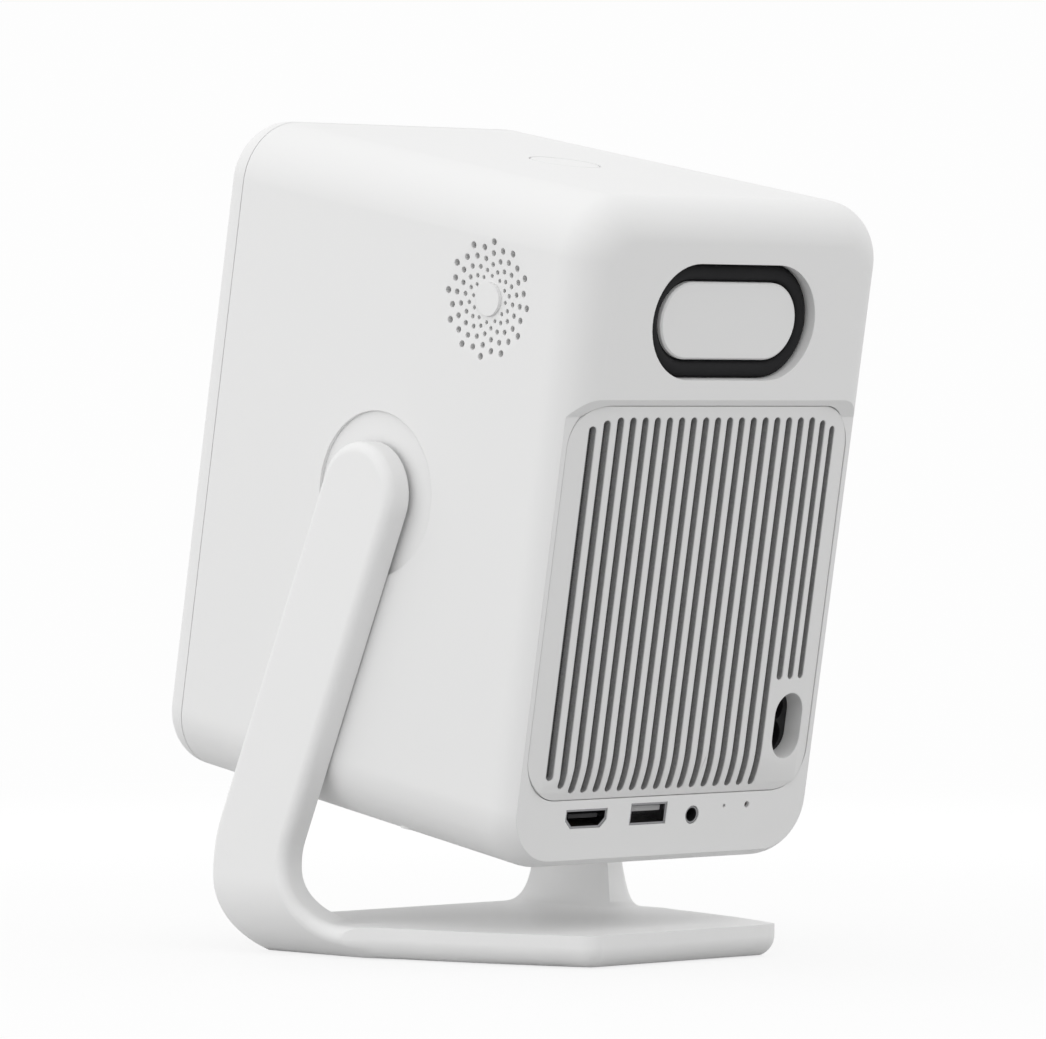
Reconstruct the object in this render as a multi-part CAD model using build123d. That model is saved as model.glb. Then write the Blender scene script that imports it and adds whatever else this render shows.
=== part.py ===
from build123d import *

import math
import os

# A portable projector that tilts in a U-shaped table stand, in millimetres.
# Stand frame: +Z up, +Y to the rear, X along the tilt axis, origin on the table under the pivot.
# The projector is modelled upright about its pivot and then leaned back by rest_tilt.

# projector body
body_width = 115.5
body_depth = 149.8
body_height = 183.4
pivot_to_rear = 71.2
pivot_to_top = 92.3
corner_radius = 17.0
rear_radius = 11.5
front_radius = 9.0
wall = 2.4
rear_wall = 6.4
seam_from_front = 10.0
seam_gap = 0.2
lip_thickness = 1.4
lip_length = 5.0
lip_root = 3.0
cover_post_length = 8.0
lip_gap = 0.15

# fits
running_gap = 0.05
slide_gap = 0.1
trim_gap = 0.2
body_gap = 0.35
screw_gap = 0.05

# stand
rest_tilt = 10.16
body_floor_gap = 16.269
arm_radius = 14.3
arm_lean = 24.5
arm_thickness = 7.4
arm_side_gap = 0.55
arm_edge_radius = 3.0
plate_top = 9.0
toe_height = 30.33
plate_rear = 62.5
plate_front_inset = 5.2
plate_rear_inset = 30.7
plate_corner_radius = 5.0
plate_edge_radius = 6.0
plate_edge_sink = 0.5
bend_inner_radius = 14.0
bend_outer_radius = 24.0
bend_sink = 3.6
foot_blend_radius = 16.0
toe_blend_radius = 40.0
flare_front = 27.0
flare_rear = 2.0
flare_front_radius = 30.0
flare_rear_radius = 60.0
pad_thickness = 1.2
pad_stand_off = 0.4
pad_margin = 5.0
weight_thickness = 5.0
weight_margin = 12.0
weight_gap = 0.3
weight_corner_radius = 6.0
plate_screw_inset = 3.7
plate_screw_spacing_y = 38.0
plate_screw_centre = -11.0

# pivots
dish_radius = 22.6
dish_depth = 1.0
pin_radius = 5.0
pin_flange_radius = 11.0
pin_flange_thickness = 1.5
pin_root_depth = 4.0
pin_screw_circle = 8.0
sleeve_wall = 3.0
hinge_boss_radius = 16.0
hinge_boss_depth = 9.4
washer_thickness = 1.1
washer_radius = 9.0
nut_thickness = 4.0
nut_radius = 8.0

# rear face
port_face_depth = 3.8
lip_chamfer_height = 2.2
lip_chamfer_depth = 1.6
panel_side_margin = 4.75
panel_top_margin = 55.7
panel_bottom_margin = 19.7
panel_radius = 12.0
panel_crown_depth = 1.4
panel_crease_depth = 4.0
panel_overrun = 1.0
side_roll = 21.0
bottom_roll = 13.0
panel_thickness = 2.2
panel_rim = 3.0
ledge_width = 2.0
ledge_thickness = 2.4
ledge_lap = 1.5
slot_count = 21
slot_side_margin = 7.43
slot_width = 2.4
slot_top_margin = 3.0
slot_bottom_margin = 2.0
short_slot_rise = 31.6
short_slots = 3
end_slot_top_drops = [2.6, 0.9]
end_slot_bottom_rises = [3.9, 1.5]
filter_thickness = 0.6

# passive bass radiator
radiator_below_top = 32.5
radiator_length = 61.5
radiator_width = 31.6
surround_depth = 3.7
surround_thickness = 1.2
surround_width = 5.2
surround_seat = 1.7
radiator_plate_depth = 2.1
radiator_plate_thickness = 2.4
radiator_plate_chamfer = 0.5

# speakers
speaker_from_rear = 36.4
speaker_below_top = 32.8
speaker_dish_radius = 16.6
speaker_dish_depth = 1.0
speaker_centre_radius = 4.6
hole_rings = 7
holes_per_ring = 12
first_ring_radius = 6.3
ring_step = 1.542
first_hole_radius = 0.55
last_hole_radius = 0.92
speaker_box_side_gap = 9.75
speaker_box_height = 38.0
speaker_box_depth = 47.8
speaker_box_wall = 2.0
speaker_box_edge = 6.0
basket_radius = 17.5
basket_flange = 2.5
cone_radius = 13.4
surround_roll = 2.2
surround_rise = 1.2
surround_wall = 0.8
cone_rise = 1.6
cone_wall = 0.6
dome_height = 1.4
coil_half_wall = 0.4
coil_length = 5.0
magnet_clearance = 3.0
magnet_radius = 11.0
magnet_depth = 12.0
coil_radius = 6.5

# power button
button_behind_middle = 1.7
button_radius = 9.75
button_chamfer = 0.3
button_gap = 0.25
button_flange_radius = 11.2
button_flange_thickness = 1.2
button_travel = 0.6
switch_height = 1.1
button_board_thickness = 1.2
button_post_spacing = 30.0
button_post_radius = 2.5

# ports
port_rise = 14.3
video_from_side = 29.05
video_width = 15.5
video_opening = 5.3
video_bevel_share = 0.4
video_tongue_inset = 2.4
video_tongue_thickness = 1.0
video_to_data = 23.4
data_width = 13.8
data_opening = 6.1
data_tongue_inset = 1.4
data_tongue_rise = 0.5
data_tongue_thickness = 1.5
data_rise = 0.5
data_to_jack = 16.8
jack_drop = 0.5
jack_opening_radius = 2.55
jack_bore_radius = 1.8
jack_bore_length = 13.0
jack_body_half = 3.5
jack_to_reset = 12.1
reset_radius = 0.5
reset_to_lamp = 8.8
lamp_radius = 0.9
port_hole_rise = 1.6
socket_depth = 13.0
socket_recess = 0.3
socket_skin = 0.6
socket_top = 3.8
socket_floor = 3.0
socket_side_margin = 0.5
tongue_end_gap = 1.5
inlet_from_panel_side = 10.3
inlet_rise = 18.4
inlet_width = 12.1
inlet_bore_depth = 12.0
inlet_lobe_inset = 1.6
inlet_length = 18.4
inlet_collar = 1.2
inlet_recess = 9.0
inlet_block_depth = 16.0
inlet_pin_radius = 1.2
inlet_pin_spacing = 8.0

# optics
lens_height = 20.0
barrel_radius = 21.0
barrel_wall = 2.5
# for each lens: its flat behind the barrel's front, its edge, its bulge
lens_stack = [(10.0, 3.0, 5.0), (19.0, 2.0, 3.0), (30.0, 2.0, 4.0)]
barrel_length = 32.0
window_to_barrel = 3.6
focus_travel = 2.0
tube_wall = 3.2
tube_setback = 13.0
engine_setback = 42.6
engine_length = 48.0
engine_side_gap = 19.35
engine_height = 64.0
engine_wall = 2.0
flange_margin = 4.0
flange_thickness = 3.0
post_radius = 4.0
post_inset = 6.0
window_radius = 27.0
window_thickness = 1.4
window_rim = 2.0
window_inset = 0.2
receiver_drop = 54.0
receiver_radius = 4.0
focus_screw_reach = 11.0
focus_screw_radius = 1.5
ear_half_height = 4.0
ear_length = 6.0
ear_setback = 3.0
ear_reach = 4.0
motor_radius = 6.0
motor_length = 14.0
motor_bore_depth = 8.0
field_lens_thickness = 2.0
rail_width = 1.5
rail_depth = 3.0
front_field_setback = 12.0
panel_setback = 20.0
lcd_thickness = 1.8
rear_field_setback = 28.0
condenser_radius = 14.0
condenser_thickness = 8.0
led_board_thickness = 1.6
led_board_half = 20.0
condenser_cell_length = 11.5
emitter_half = 5.0
emitter_height = 1.2

# cooling
sink_head_gap = 5.5
sink_base = 4.0
fin_count = 15
fin_thickness = 1.2
fan_rear_gap = 5.8
fan_depth = 15.0
fan_bore_margin = 2.5
blade_tip_gap = 1.0
blade_count = 9
blade_pitch = 38.0
blade_thickness = 1.4
hub_radius = 12.0
fan_end_plate = 1.6
fan_shaft_radius = 1.5

# boards
board_thickness = 1.6
main_board_side_gap = 15.35
main_board_length = 94.45
main_board_rise = 10.6
power_board_side_gap = 5.35
power_board_setback = 14.2
power_board_rear_gap = 32.8
board_spacing = 18.1
board_post_radius = 3.0
board_post_inset = 4.0
power_post_inset = 14.0
main_post_front_inset = 6.0
# each: distance from the middle as a share of the board's half width, distance from its front, size, height
main_board_chips = [(-0.3, 22.0, 18.0, 2.4), (0.4, 20.0, 13.0, 2.0), (0.35, 48.0, 16.0, 4.0)]
# the same, with the height as a share of the room under the heat sink
transformer = (-0.42, 54.0, 25.0, 0.7)
capacitors = [(0.24, 54.0, 9.0, 0.77), (0.64, 54.0, 6.0, 0.58), (0.64, 76.0, 6.0, 0.58), (0.2, 78.0, 5.0, 0.5)]
main_post_rear_inset = 24.0

# screws
screw_radius = 1.4
screw_head_radius = 2.6
screw_head_height = 1.6
screw_length = 12.0

# values that follow from the ones above
lean_cos = math.cos(math.radians(rest_tilt))
lean_sin = math.sin(math.radians(rest_tilt))
half_width = body_width / 2
front_face = pivot_to_rear - body_depth
body_middle = pivot_to_top - body_height / 2
body_bottom = pivot_to_top - body_height
inner_side = half_width - wall
inner_rear = pivot_to_rear - rear_wall
inner_front = front_face + wall
inner_top = pivot_to_top - wall
inner_bottom = body_bottom + wall
seam = front_face + seam_from_front
port_face = pivot_to_rear - port_face_depth

pivot_height = plate_top + body_floor_gap + pivot_to_rear * lean_sin - body_bottom * lean_cos
arm_cos = math.cos(math.radians(arm_lean))
arm_sin = math.sin(math.radians(arm_lean))
arm_front_top = pivot_height + arm_radius * arm_sin
plate_front = arm_radius * arm_cos + (arm_front_top - toe_height) * arm_sin / arm_cos
arm_inner = half_width + arm_side_gap
arm_outer = arm_inner + arm_thickness
plate_front_half = arm_outer - plate_front_inset
plate_rear_half = arm_outer - plate_rear_inset
plate_run = plate_front + plate_rear
plate_fall = plate_front_half - plate_rear_half
plate_side_radius = (plate_run**2 + plate_fall**2) / (2 * plate_fall)
toe_setback = bend_outer_radius - math.sqrt(bend_outer_radius**2 - (bend_outer_radius - bend_sink) ** 2)
sole_front = plate_front - toe_setback
weight_half = arm_outer - bend_outer_radius - weight_margin / 2
sleeve_inner_end = inner_side - hinge_boss_depth
sleeve_outer_radius = pin_radius + running_gap + sleeve_wall
dish_floor = half_width - dish_depth
pin_inner_end = sleeve_inner_end - body_gap - washer_thickness - nut_thickness

panel_half_width = half_width - panel_side_margin
panel_top = pivot_to_top - panel_top_margin
panel_bottom = body_bottom + panel_bottom_margin
panel_crown = pivot_to_rear - panel_crown_depth
panel_crease = pivot_to_rear - panel_crease_depth
panel_crown_to_crease = panel_crown - panel_crease
slot_pitch = 2 * (panel_half_width - slot_side_margin) / (slot_count - 1)
slot_top = panel_top - slot_top_margin
slot_bottom = panel_bottom + slot_bottom_margin
short_slot_bottom = panel_bottom + short_slot_rise
radiator_height = pivot_to_top - radiator_below_top
surround_front = pivot_to_rear - surround_depth
surround_back = surround_front - surround_thickness
radiator_plate_front = pivot_to_rear - radiator_plate_depth
speaker_y = pivot_to_rear - speaker_from_rear
speaker_height = pivot_to_top - speaker_below_top
speaker_box_half_width = half_width - speaker_box_side_gap
speaker_box_front = inner_rear - speaker_box_depth
button_y = (pivot_to_rear + front_face) / 2 + button_behind_middle

port_height = body_bottom + port_rise
data_height = port_height + data_rise
jack_height = port_height - jack_drop
port_hole_height = port_height + port_hole_rise
video_x = half_width - video_from_side
data_x = video_x - video_to_data
jack_x = data_x - data_to_jack
reset_x = jack_x - jack_to_reset
lamp_x = reset_x - reset_to_lamp
inlet_x = inlet_from_panel_side - panel_half_width
inlet_height = panel_bottom + inlet_rise

barrel_front = front_face + window_to_barrel + focus_travel
tube_front = barrel_front + tube_setback
ear_front = barrel_front + ear_setback
engine_front = front_face + engine_setback
engine_rear = engine_front + engine_length
engine_half_width = inner_side - engine_side_gap
post_x = engine_half_width - post_inset
post_z = engine_height / 2 - post_inset
front_field_y = engine_front + front_field_setback
panel_y = engine_front + panel_setback
rear_field_y = engine_front + rear_field_setback
receiver_height = lens_height - receiver_drop
focus_screw_x = barrel_radius + focus_screw_reach
sink_half = speaker_height - speaker_box_height / 2 - sink_head_gap
sink_front = engine_rear + led_board_thickness
fan_half = sink_half
fan_rear = inner_rear - fan_rear_gap
fan_front = fan_rear - fan_depth
fan_bore_radius = fan_half - fan_bore_margin
blade_radius = fan_bore_radius - blade_tip_gap

main_board_half_width = inner_side - main_board_side_gap
main_board_rear = inner_rear - body_gap
main_board_front = main_board_rear - main_board_length
main_board_top = body_bottom + main_board_rise
main_post_x = main_board_half_width - board_post_inset
power_board_half_width = inner_side - power_board_side_gap
power_board_front = inner_front + power_board_setback
power_board_rear = inner_rear - power_board_rear_gap
power_board_top = main_board_top + board_spacing
power_post_x = power_board_half_width - board_post_inset
power_board_room = -sink_half - body_gap - power_board_top
sides = {"left": 1, "right": -1}


# Outlines given in X-Z, Y-Z or X-Y, run along the third axis between two positions.
def along_y(outline, start, end):
    return Pos(0, end, 0) * extrude(Plane.XZ * outline, amount=end - start)


def along_x(outline, start, end):
    return Pos(start, 0, 0) * extrude(Plane.YZ * outline, amount=end - start)


def along_z(outline, start, end):
    return Pos(0, 0, start) * extrude(outline, amount=end - start)


def block(x_range, y_range, z_range):
    size = [end - start for start, end in (x_range, y_range, z_range)]
    centre = [(end + start) / 2 for start, end in (x_range, y_range, z_range)]
    return Pos(*centre) * Box(*size)


def rod_y(radius, x, z, start, end):
    return along_y(Pos(x, z) * Circle(radius), start, end)


def rod_z(radius, x, y, start, end):
    return along_z(Pos(x, y) * Circle(radius), start, end)


# A rod along X on one side of the body, between two distances from the middle plane.
def side_rod(side, radius, y, z, near, far):
    start, end = sorted((side * near, side * far))
    return along_x(Pos(y, z) * Circle(radius), start, end)


def corners(x, z):
    return [(sign_x * x, sign_z * z) for sign_x in (1, -1) for sign_z in (1, -1)]


# A pan-head screw along Y whose head seats at head_y and whose shank points forward.
def screw_y(x, z, head_y, length):
    head = rod_y(screw_head_radius, x, z, head_y, head_y + screw_head_height)
    return head + rod_y(screw_radius, x, z, head_y - length, head_y)


def nearest_vertex(sketch, x, y):
    return sketch.vertices().sort_by_distance(Vector(x, y, 0))[0]


# The rounded body, inset evenly, with its rear plane where it is asked for.
def body_form(inset, rear_face):
    width = body_width - 2 * inset
    height = body_height - 2 * inset
    outline = Pos(0, body_middle) * RectangleRounded(width, height, corner_radius - inset)
    form = along_y(outline, front_face + inset, rear_face)
    form = fillet(form.faces().sort_by(Axis.Y)[-1].edges(), rear_radius - inset)
    return fillet(form.faces().sort_by(Axis.Y)[0].edges(), front_radius - inset)


def body_slab(front, rear):
    return block((-body_width, body_width), (front, rear), (-body_height, body_height))


def panel_outline(margin):
    width = 2 * (panel_half_width + margin)
    height = panel_top - panel_bottom + 2 * margin
    centre = (panel_top + panel_bottom) / 2
    return Pos(0, centre) * RectangleRounded(width, height, panel_radius + margin)


def sag(radius, run):
    return radius - math.sqrt(radius**2 - run**2)


# The pillow surface: flat in the middle, rolling in at both sides and at the bottom.
# Its arcs run on past the outline, which trims them.
def panel_form(margin, drop):
    crown = panel_crown - drop
    back = inner_rear - drop
    fall = panel_crown_to_crease
    side_arc = (side_roll**2 + fall**2) / (2 * fall)
    bottom_arc = (bottom_roll**2 + fall**2) / (2 * fall)
    flat_half = panel_half_width - side_roll
    flat_bottom = panel_bottom + bottom_roll
    flat_top = panel_top + panel_overrun
    side_run = side_roll + panel_overrun
    bottom_run = bottom_roll + panel_overrun
    side = flat_half + side_run
    edge = crown - sag(side_arc, side_run)
    middle = flat_half + side_run / 2
    bend = crown - sag(side_arc, side_run / 2)
    foot = flat_bottom - bottom_run
    foot_edge = crown - sag(bottom_arc, bottom_run)
    foot_bend = crown - sag(bottom_arc, bottom_run / 2)
    across = make_face(
        Curve()
        + [
            Polyline((-side, edge), (-side, back), (side, back), (side, edge)),
            ThreePointArc((side, edge), (middle, bend), (flat_half, crown)),
            Line((flat_half, crown), (-flat_half, crown)),
            ThreePointArc((-flat_half, crown), (-middle, bend), (-side, edge)),
        ]
    )
    upright = make_face(
        Curve()
        + [
            Polyline((foot_edge, foot), (back, foot), (back, flat_top), (crown, flat_top)),
            Line((crown, flat_top), (crown, flat_bottom)),
            ThreePointArc((crown, flat_bottom), (foot_bend, flat_bottom - bottom_run / 2), (foot_edge, foot)),
        ]
    )
    form = along_z(across, foot, flat_top) & along_x(upright, -side, side)
    return form & along_y(panel_outline(margin), back, pivot_to_rear)


# The lower rear is cut back to a flat port face under a chamfered upper lip.
def port_face_cut():
    half = body_width
    drop = body_height
    radius = panel_radius + ledge_width
    spread = lip_chamfer_height / lip_chamfer_depth
    outlines = []
    for depth in (port_face, pivot_to_rear + 1):
        grow = (depth - panel_crown) * spread
        width = 2 * (panel_half_width + ledge_width + grow)
        top = panel_top + grow
        outline = Pos(0, top - drop / 2) * RectangleRounded(width + half, drop, radius + half / 4)
        outlines.append(Pos(0, depth, 0) * (Plane.XZ * outline))
    return loft(outlines, ruled=True)


def stadium(length, width):
    return SlotOverall(length, width)


def upright_stadium(length, width):
    return SlotOverall(length, width, rotation=90)


def video_outline(inset):
    half = video_width / 2 - inset
    top = video_opening / 2 - inset
    bevel = video_opening * video_bevel_share
    points = [(-half, bevel - top), (bevel - half, -top), (half - bevel, -top)]
    points += [(half, bevel - top), (half, top), (-half, top)]
    return Polygon(*points, align=None)


def data_outline(inset):
    return Rectangle(data_width - 2 * inset, data_opening - 2 * inset)


def slot_cuts():
    cuts = []
    for index in range(slot_count):
        from_end = min(index, slot_count - 1 - index)
        top = slot_top
        bottom = slot_bottom
        if from_end < len(end_slot_top_drops):
            top -= end_slot_top_drops[from_end]
            bottom += end_slot_bottom_rises[from_end]
        if index >= slot_count - short_slots:
            bottom = short_slot_bottom
        x = (slot_count - 1 - 2 * index) / 2 * slot_pitch
        outline = Pos(x, (top + bottom) / 2) * upright_stadium(top - bottom, slot_width)
        cuts.append(along_y(outline, inner_rear - panel_rim - ledge_thickness, pivot_to_rear))
    return cuts


def speaker_holes(side):
    cuts = []
    growth = (last_hole_radius - first_hole_radius) / (hole_rings - 1)
    for ring in range(hole_rings):
        radius = first_ring_radius + ring * ring_step
        turn = ring % 2 * 0.5
        for step in range(holes_per_ring):
            angle = 2 * math.pi * (step + turn) / holes_per_ring
            y = speaker_y + radius * math.cos(angle)
            z = speaker_height + radius * math.sin(angle)
            hole_radius = first_hole_radius + ring * growth
            cuts.append(side_rod(side, hole_radius, y, z, inner_side - 1, half_width + 1))
    return cuts


# Posts in the four corners of the body, where the front cover screws on.
def corner_post_places():
    reach = (corner_radius - wall - post_radius + 1) / math.sqrt(2)
    x = half_width - corner_radius + reach
    z = body_height / 2 - corner_radius + reach
    return [(px, pz + body_middle) for px, pz in corners(x, z)]


def main_post_places():
    ends = (main_board_front + main_post_front_inset, main_board_rear - main_post_rear_inset)
    return [(x, y) for x in (main_post_x, -main_post_x) for y in ends]


def power_post_places():
    ends = (power_board_front + power_post_inset, power_board_rear - power_post_inset)
    return [(x, y) for x in (power_post_x, -power_post_x) for y in ends]


def main_housing():
    shell = body_form(0, pivot_to_rear) - body_form(wall, inner_rear)
    shell -= body_slab(front_face - 1, seam)
    ledge = along_y(panel_outline(ledge_lap), inner_rear - ledge_thickness, inner_rear)
    shell += ledge & body_form(wall / 2, inner_rear + wall)
    post_start = seam + lip_length + 1
    for x, z in corner_post_places():
        shell += rod_y(post_radius, x, z, post_start, post_start + cover_post_length)
    for x, y in main_post_places():
        top = main_board_top - board_thickness
        shell += rod_z(board_post_radius, x, y, inner_bottom - 1, top)
    for x, y in power_post_places():
        top = power_board_top - board_thickness
        shell += rod_z(board_post_radius, x, y, inner_bottom - 1, top)
    for x in (button_post_spacing / 2, -button_post_spacing / 2):
        shell += rod_z(button_post_radius, x, button_y, button_board_top(), inner_top + 1)
    for side in sides.values():
        shell += side_rod(side, hinge_boss_radius, 0, 0, sleeve_inner_end, inner_side + 1)
    for side in sides.values():
        shell -= side_rod(side, dish_radius, 0, 0, dish_floor, half_width + 1)
        shell -= side_rod(side, sleeve_outer_radius + screw_gap, 0, 0, sleeve_inner_end - 1, half_width + 1)
        shell = speaker_grille(shell, side)
    shell -= port_face_cut()
    shell -= along_y(panel_outline(trim_gap), inner_rear, pivot_to_rear + 1)
    shell -= along_y(panel_outline(-ledge_width), inner_rear - ledge_thickness - 1, pivot_to_rear)
    opening = Pos(0, radiator_height) * stadium(radiator_length, radiator_width)
    seat_length = radiator_length - 2 * surround_seat
    seat_width = radiator_width - 2 * surround_seat
    throat = Pos(0, radiator_height) * stadium(seat_length, seat_width)
    shell -= along_y(opening, surround_back, pivot_to_rear + 1)
    shell -= along_y(throat, inner_rear - 1, pivot_to_rear)
    shell -= along_y(Pos(video_x, port_height) * video_outline(0), inner_rear - 1, pivot_to_rear)
    shell -= along_y(Pos(data_x, data_height) * data_outline(0), inner_rear - 1, pivot_to_rear)
    shell -= rod_y(jack_opening_radius, jack_x, jack_height, inner_rear - 1, pivot_to_rear)
    shell -= rod_y(reset_radius, reset_x, port_hole_height, inner_rear - 1, pivot_to_rear)
    shell -= rod_y(lamp_radius, lamp_x, port_hole_height, inner_rear - 1, pivot_to_rear)
    shell -= rod_z(button_radius + button_gap, 0, button_y, inner_top - 1, pivot_to_top + 1)
    for x, z in corner_post_places():
        shell -= rod_y(screw_radius + screw_gap, x, z, seam, post_start + cover_post_length + 1)
    return shell


def speaker_grille(shell, side):
    sphere_radius = (speaker_dish_radius**2 + speaker_dish_depth**2) / (2 * speaker_dish_depth)
    centre_x = side * (half_width + sphere_radius - speaker_dish_depth)
    shell -= Pos(centre_x, speaker_y, speaker_height) * Sphere(sphere_radius)
    shell += side_rod(side, speaker_centre_radius, speaker_y, speaker_height, inner_side, half_width)
    return shell - speaker_holes(side)


def button_board_top():
    flange_bottom = inner_top - body_gap - button_flange_thickness
    return flange_bottom - button_travel - body_gap - switch_height


def front_cover():
    shell = body_form(0, pivot_to_rear) - body_form(wall, inner_rear)
    shell = shell & body_slab(front_face - 1, seam - seam_gap)
    outer_lip = body_form(wall + lip_gap, inner_rear)
    inner_lip = body_form(wall + lip_gap + lip_thickness, inner_rear)
    lip = (outer_lip - inner_lip) & body_slab(seam - lip_root, seam + lip_length)
    root = (body_form(wall - 1, inner_rear) - inner_lip) & body_slab(seam - lip_root - 1, seam - lip_root + 1)
    shell = shell + lip + root
    for x, z in corner_post_places():
        post = rod_y(post_radius, x, z, inner_front - 0.5, seam + lip_length + 1)
        shell += post & body_form(wall + lip_gap, inner_rear)
        shell -= rod_y(screw_radius + screw_gap, x, z, seam - lip_root - 1, seam + lip_length + 2)
    for x, z in corners(post_x, post_z):
        shell += rod_y(post_radius, x, lens_height + z, inner_front - 0.5, engine_front)
        shell -= rod_y(screw_radius + screw_gap, x, lens_height + z, engine_front - 12, engine_front + 1)
    shell -= rod_y(window_radius - window_rim, 0, lens_height, front_face - 1, inner_front + 1)
    seat = front_face + window_inset + window_thickness
    shell -= rod_y(window_radius + running_gap, 0, lens_height, front_face - 1, seat)
    return shell - rod_y(receiver_radius + running_gap, 0, receiver_height, front_face - 1, inner_front + 1)


def cover_screws():
    head = seam + lip_length + 1 + cover_post_length
    return Part() + [screw_y(x, z, head, screw_length) for x, z in corner_post_places()]


def lens_window():
    start = front_face + window_inset
    return rod_y(window_radius, 0, lens_height, start, start + window_thickness)


def receiver_window():
    return rod_y(receiver_radius, 0, receiver_height, front_face + window_inset, inner_front)


def rear_grille():
    panel = panel_form(0, 0)
    panel -= panel_form(-panel_rim, panel_thickness)
    opening = Pos(inlet_x, inlet_height)
    collar = opening * upright_stadium(inlet_length + 2 * inlet_collar, inlet_width + 2 * inlet_collar)
    panel += along_y(collar, pivot_to_rear - inlet_recess, panel_crease)
    panel -= slot_cuts()
    inlet = opening * upright_stadium(inlet_length, inlet_width)
    return panel - along_y(inlet, inner_rear - inlet_bore_depth, pivot_to_rear)


def dust_filter():
    sheet = panel_form(-panel_rim - trim_gap, panel_thickness + running_gap)
    sheet -= panel_form(-panel_rim, panel_thickness + running_gap + filter_thickness)
    clear = inlet_collar + trim_gap
    collar = upright_stadium(inlet_length + 2 * clear, inlet_width + 2 * clear)
    sheet -= along_y(Pos(inlet_x, inlet_height) * collar, inner_rear - inlet_bore_depth, pivot_to_rear)
    keep = along_y(panel_outline(-panel_rim - trim_gap), inner_rear - panel_rim, pivot_to_rear)
    return sheet & keep


def radiator_surround():
    outer = stadium(radiator_length - 2 * trim_gap, radiator_width - 2 * trim_gap)
    length = radiator_length - 2 * surround_width
    width = radiator_width - 2 * surround_width
    ring = outer - stadium(length, width)
    return along_y(Pos(0, radiator_height) * ring, surround_back, surround_front)


def radiator_plate():
    length = radiator_length - 2 * surround_width - 2 * running_gap
    width = radiator_width - 2 * surround_width - 2 * running_gap
    outline = Pos(0, radiator_height) * stadium(length, width)
    back = radiator_plate_front - radiator_plate_thickness
    plate = along_y(outline, back, radiator_plate_front)
    return chamfer(plate.faces().sort_by(Axis.Y)[-1].edges(), radiator_plate_chamfer)


def speaker_box():
    low = speaker_height - speaker_box_height / 2
    high = speaker_height + speaker_box_height / 2
    half = speaker_box_half_width
    skin = speaker_box_wall
    box = block((-half, half), (speaker_box_front, inner_rear), (low, high))
    rear_edges = box.edges().filter_by(Axis.Z).group_by(Axis.Y)[-1]
    box = fillet(rear_edges, speaker_box_edge)
    y_range = (speaker_box_front + skin, inner_rear - skin)
    cavity = block((skin - half, half - skin), y_range, (low + skin, high - skin))
    box -= fillet(cavity.edges().filter_by(Axis.Z).group_by(Axis.Y)[-1], speaker_box_edge - skin)
    length = radiator_length - 2 * surround_seat
    width = radiator_width - 2 * surround_seat
    mouth = Pos(0, radiator_height) * stadium(length, width)
    box -= along_y(mouth, inner_rear - skin - 1, inner_rear + 1)
    for side in sides.values():
        radius = magnet_radius + magnet_clearance
        box -= side_rod(side, radius, speaker_basket_y(), speaker_height, half - skin - 1, half + 1)
    return box


# The driver sits far enough back for its round flange to clear the box's edges.
def speaker_basket_y():
    return max(speaker_y, speaker_box_front + basket_radius)


def speaker_frame(side):
    y = speaker_basket_y()
    z = speaker_height
    face = speaker_box_half_width
    frame = side_rod(side, basket_radius, y, z, face, face + basket_flange)
    frame -= side_rod(side, cone_radius + surround_roll, y, z, face + 1, face + basket_flange + 1)
    frame += side_rod(side, magnet_radius + 1, y, z, face - magnet_depth, face + 1)
    frame -= side_rod(side, coil_radius + 1, y, z, face - magnet_depth + 3, face + 2)
    return frame + side_rod(side, coil_radius - 1, y, z, face - magnet_depth, face - 1)


def speaker_surround(side):
    y = speaker_basket_y()
    start = speaker_box_half_width + surround_rise
    radius = cone_radius + surround_roll - running_gap
    ring = side_rod(side, radius, y, speaker_height, start, start + surround_wall)
    return ring - side_rod(side, cone_radius + running_gap, y, speaker_height, start - 1, start + 2)


def speaker_cone(side):
    y = speaker_basket_y()
    z = speaker_height
    start = speaker_box_half_width + cone_rise
    cone = side_rod(side, cone_radius, y, z, start, start + cone_wall)
    dome = side_rod(side, coil_radius, y, z, start, start + dome_height)
    outer_coil = side_rod(side, coil_radius + coil_half_wall, y, z, start - coil_length, start)
    bore = side_rod(side, coil_radius - coil_half_wall, y, z, start - coil_length - 1, start + 1)
    coil = outer_coil - bore
    return cone + dome + coil


def power_button():
    flange_top = inner_top - body_gap
    flange_bottom = flange_top - button_flange_thickness
    cap = rod_z(button_radius, 0, button_y, flange_top - 0.5, pivot_to_top)
    cap = chamfer(cap.faces().sort_by(Axis.Z)[-1].edges(), button_chamfer)
    return cap + rod_z(button_flange_radius, 0, button_y, flange_bottom, flange_top)


def button_board():
    top = button_board_top()
    half_length = button_post_spacing / 2 + button_post_radius
    board = block(
        (-half_length, half_length),
        (button_y - button_radius, button_y + button_radius),
        (top - button_board_thickness, top),
    )
    return board + rod_z(button_radius / 2, 0, button_y, top - 0.5, top + switch_height)


def hinge_sleeve(side):
    sleeve = side_rod(side, sleeve_outer_radius, 0, 0, sleeve_inner_end, dish_floor)
    return sleeve - side_rod(side, pin_radius + running_gap, 0, 0, sleeve_inner_end - 1, dish_floor + 1)


def pin_screw_places():
    angles = [math.radians(90 + 120 * step) for step in range(3)]
    return [(pin_screw_circle * math.cos(angle), pin_screw_circle * math.sin(angle)) for angle in angles]


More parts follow.
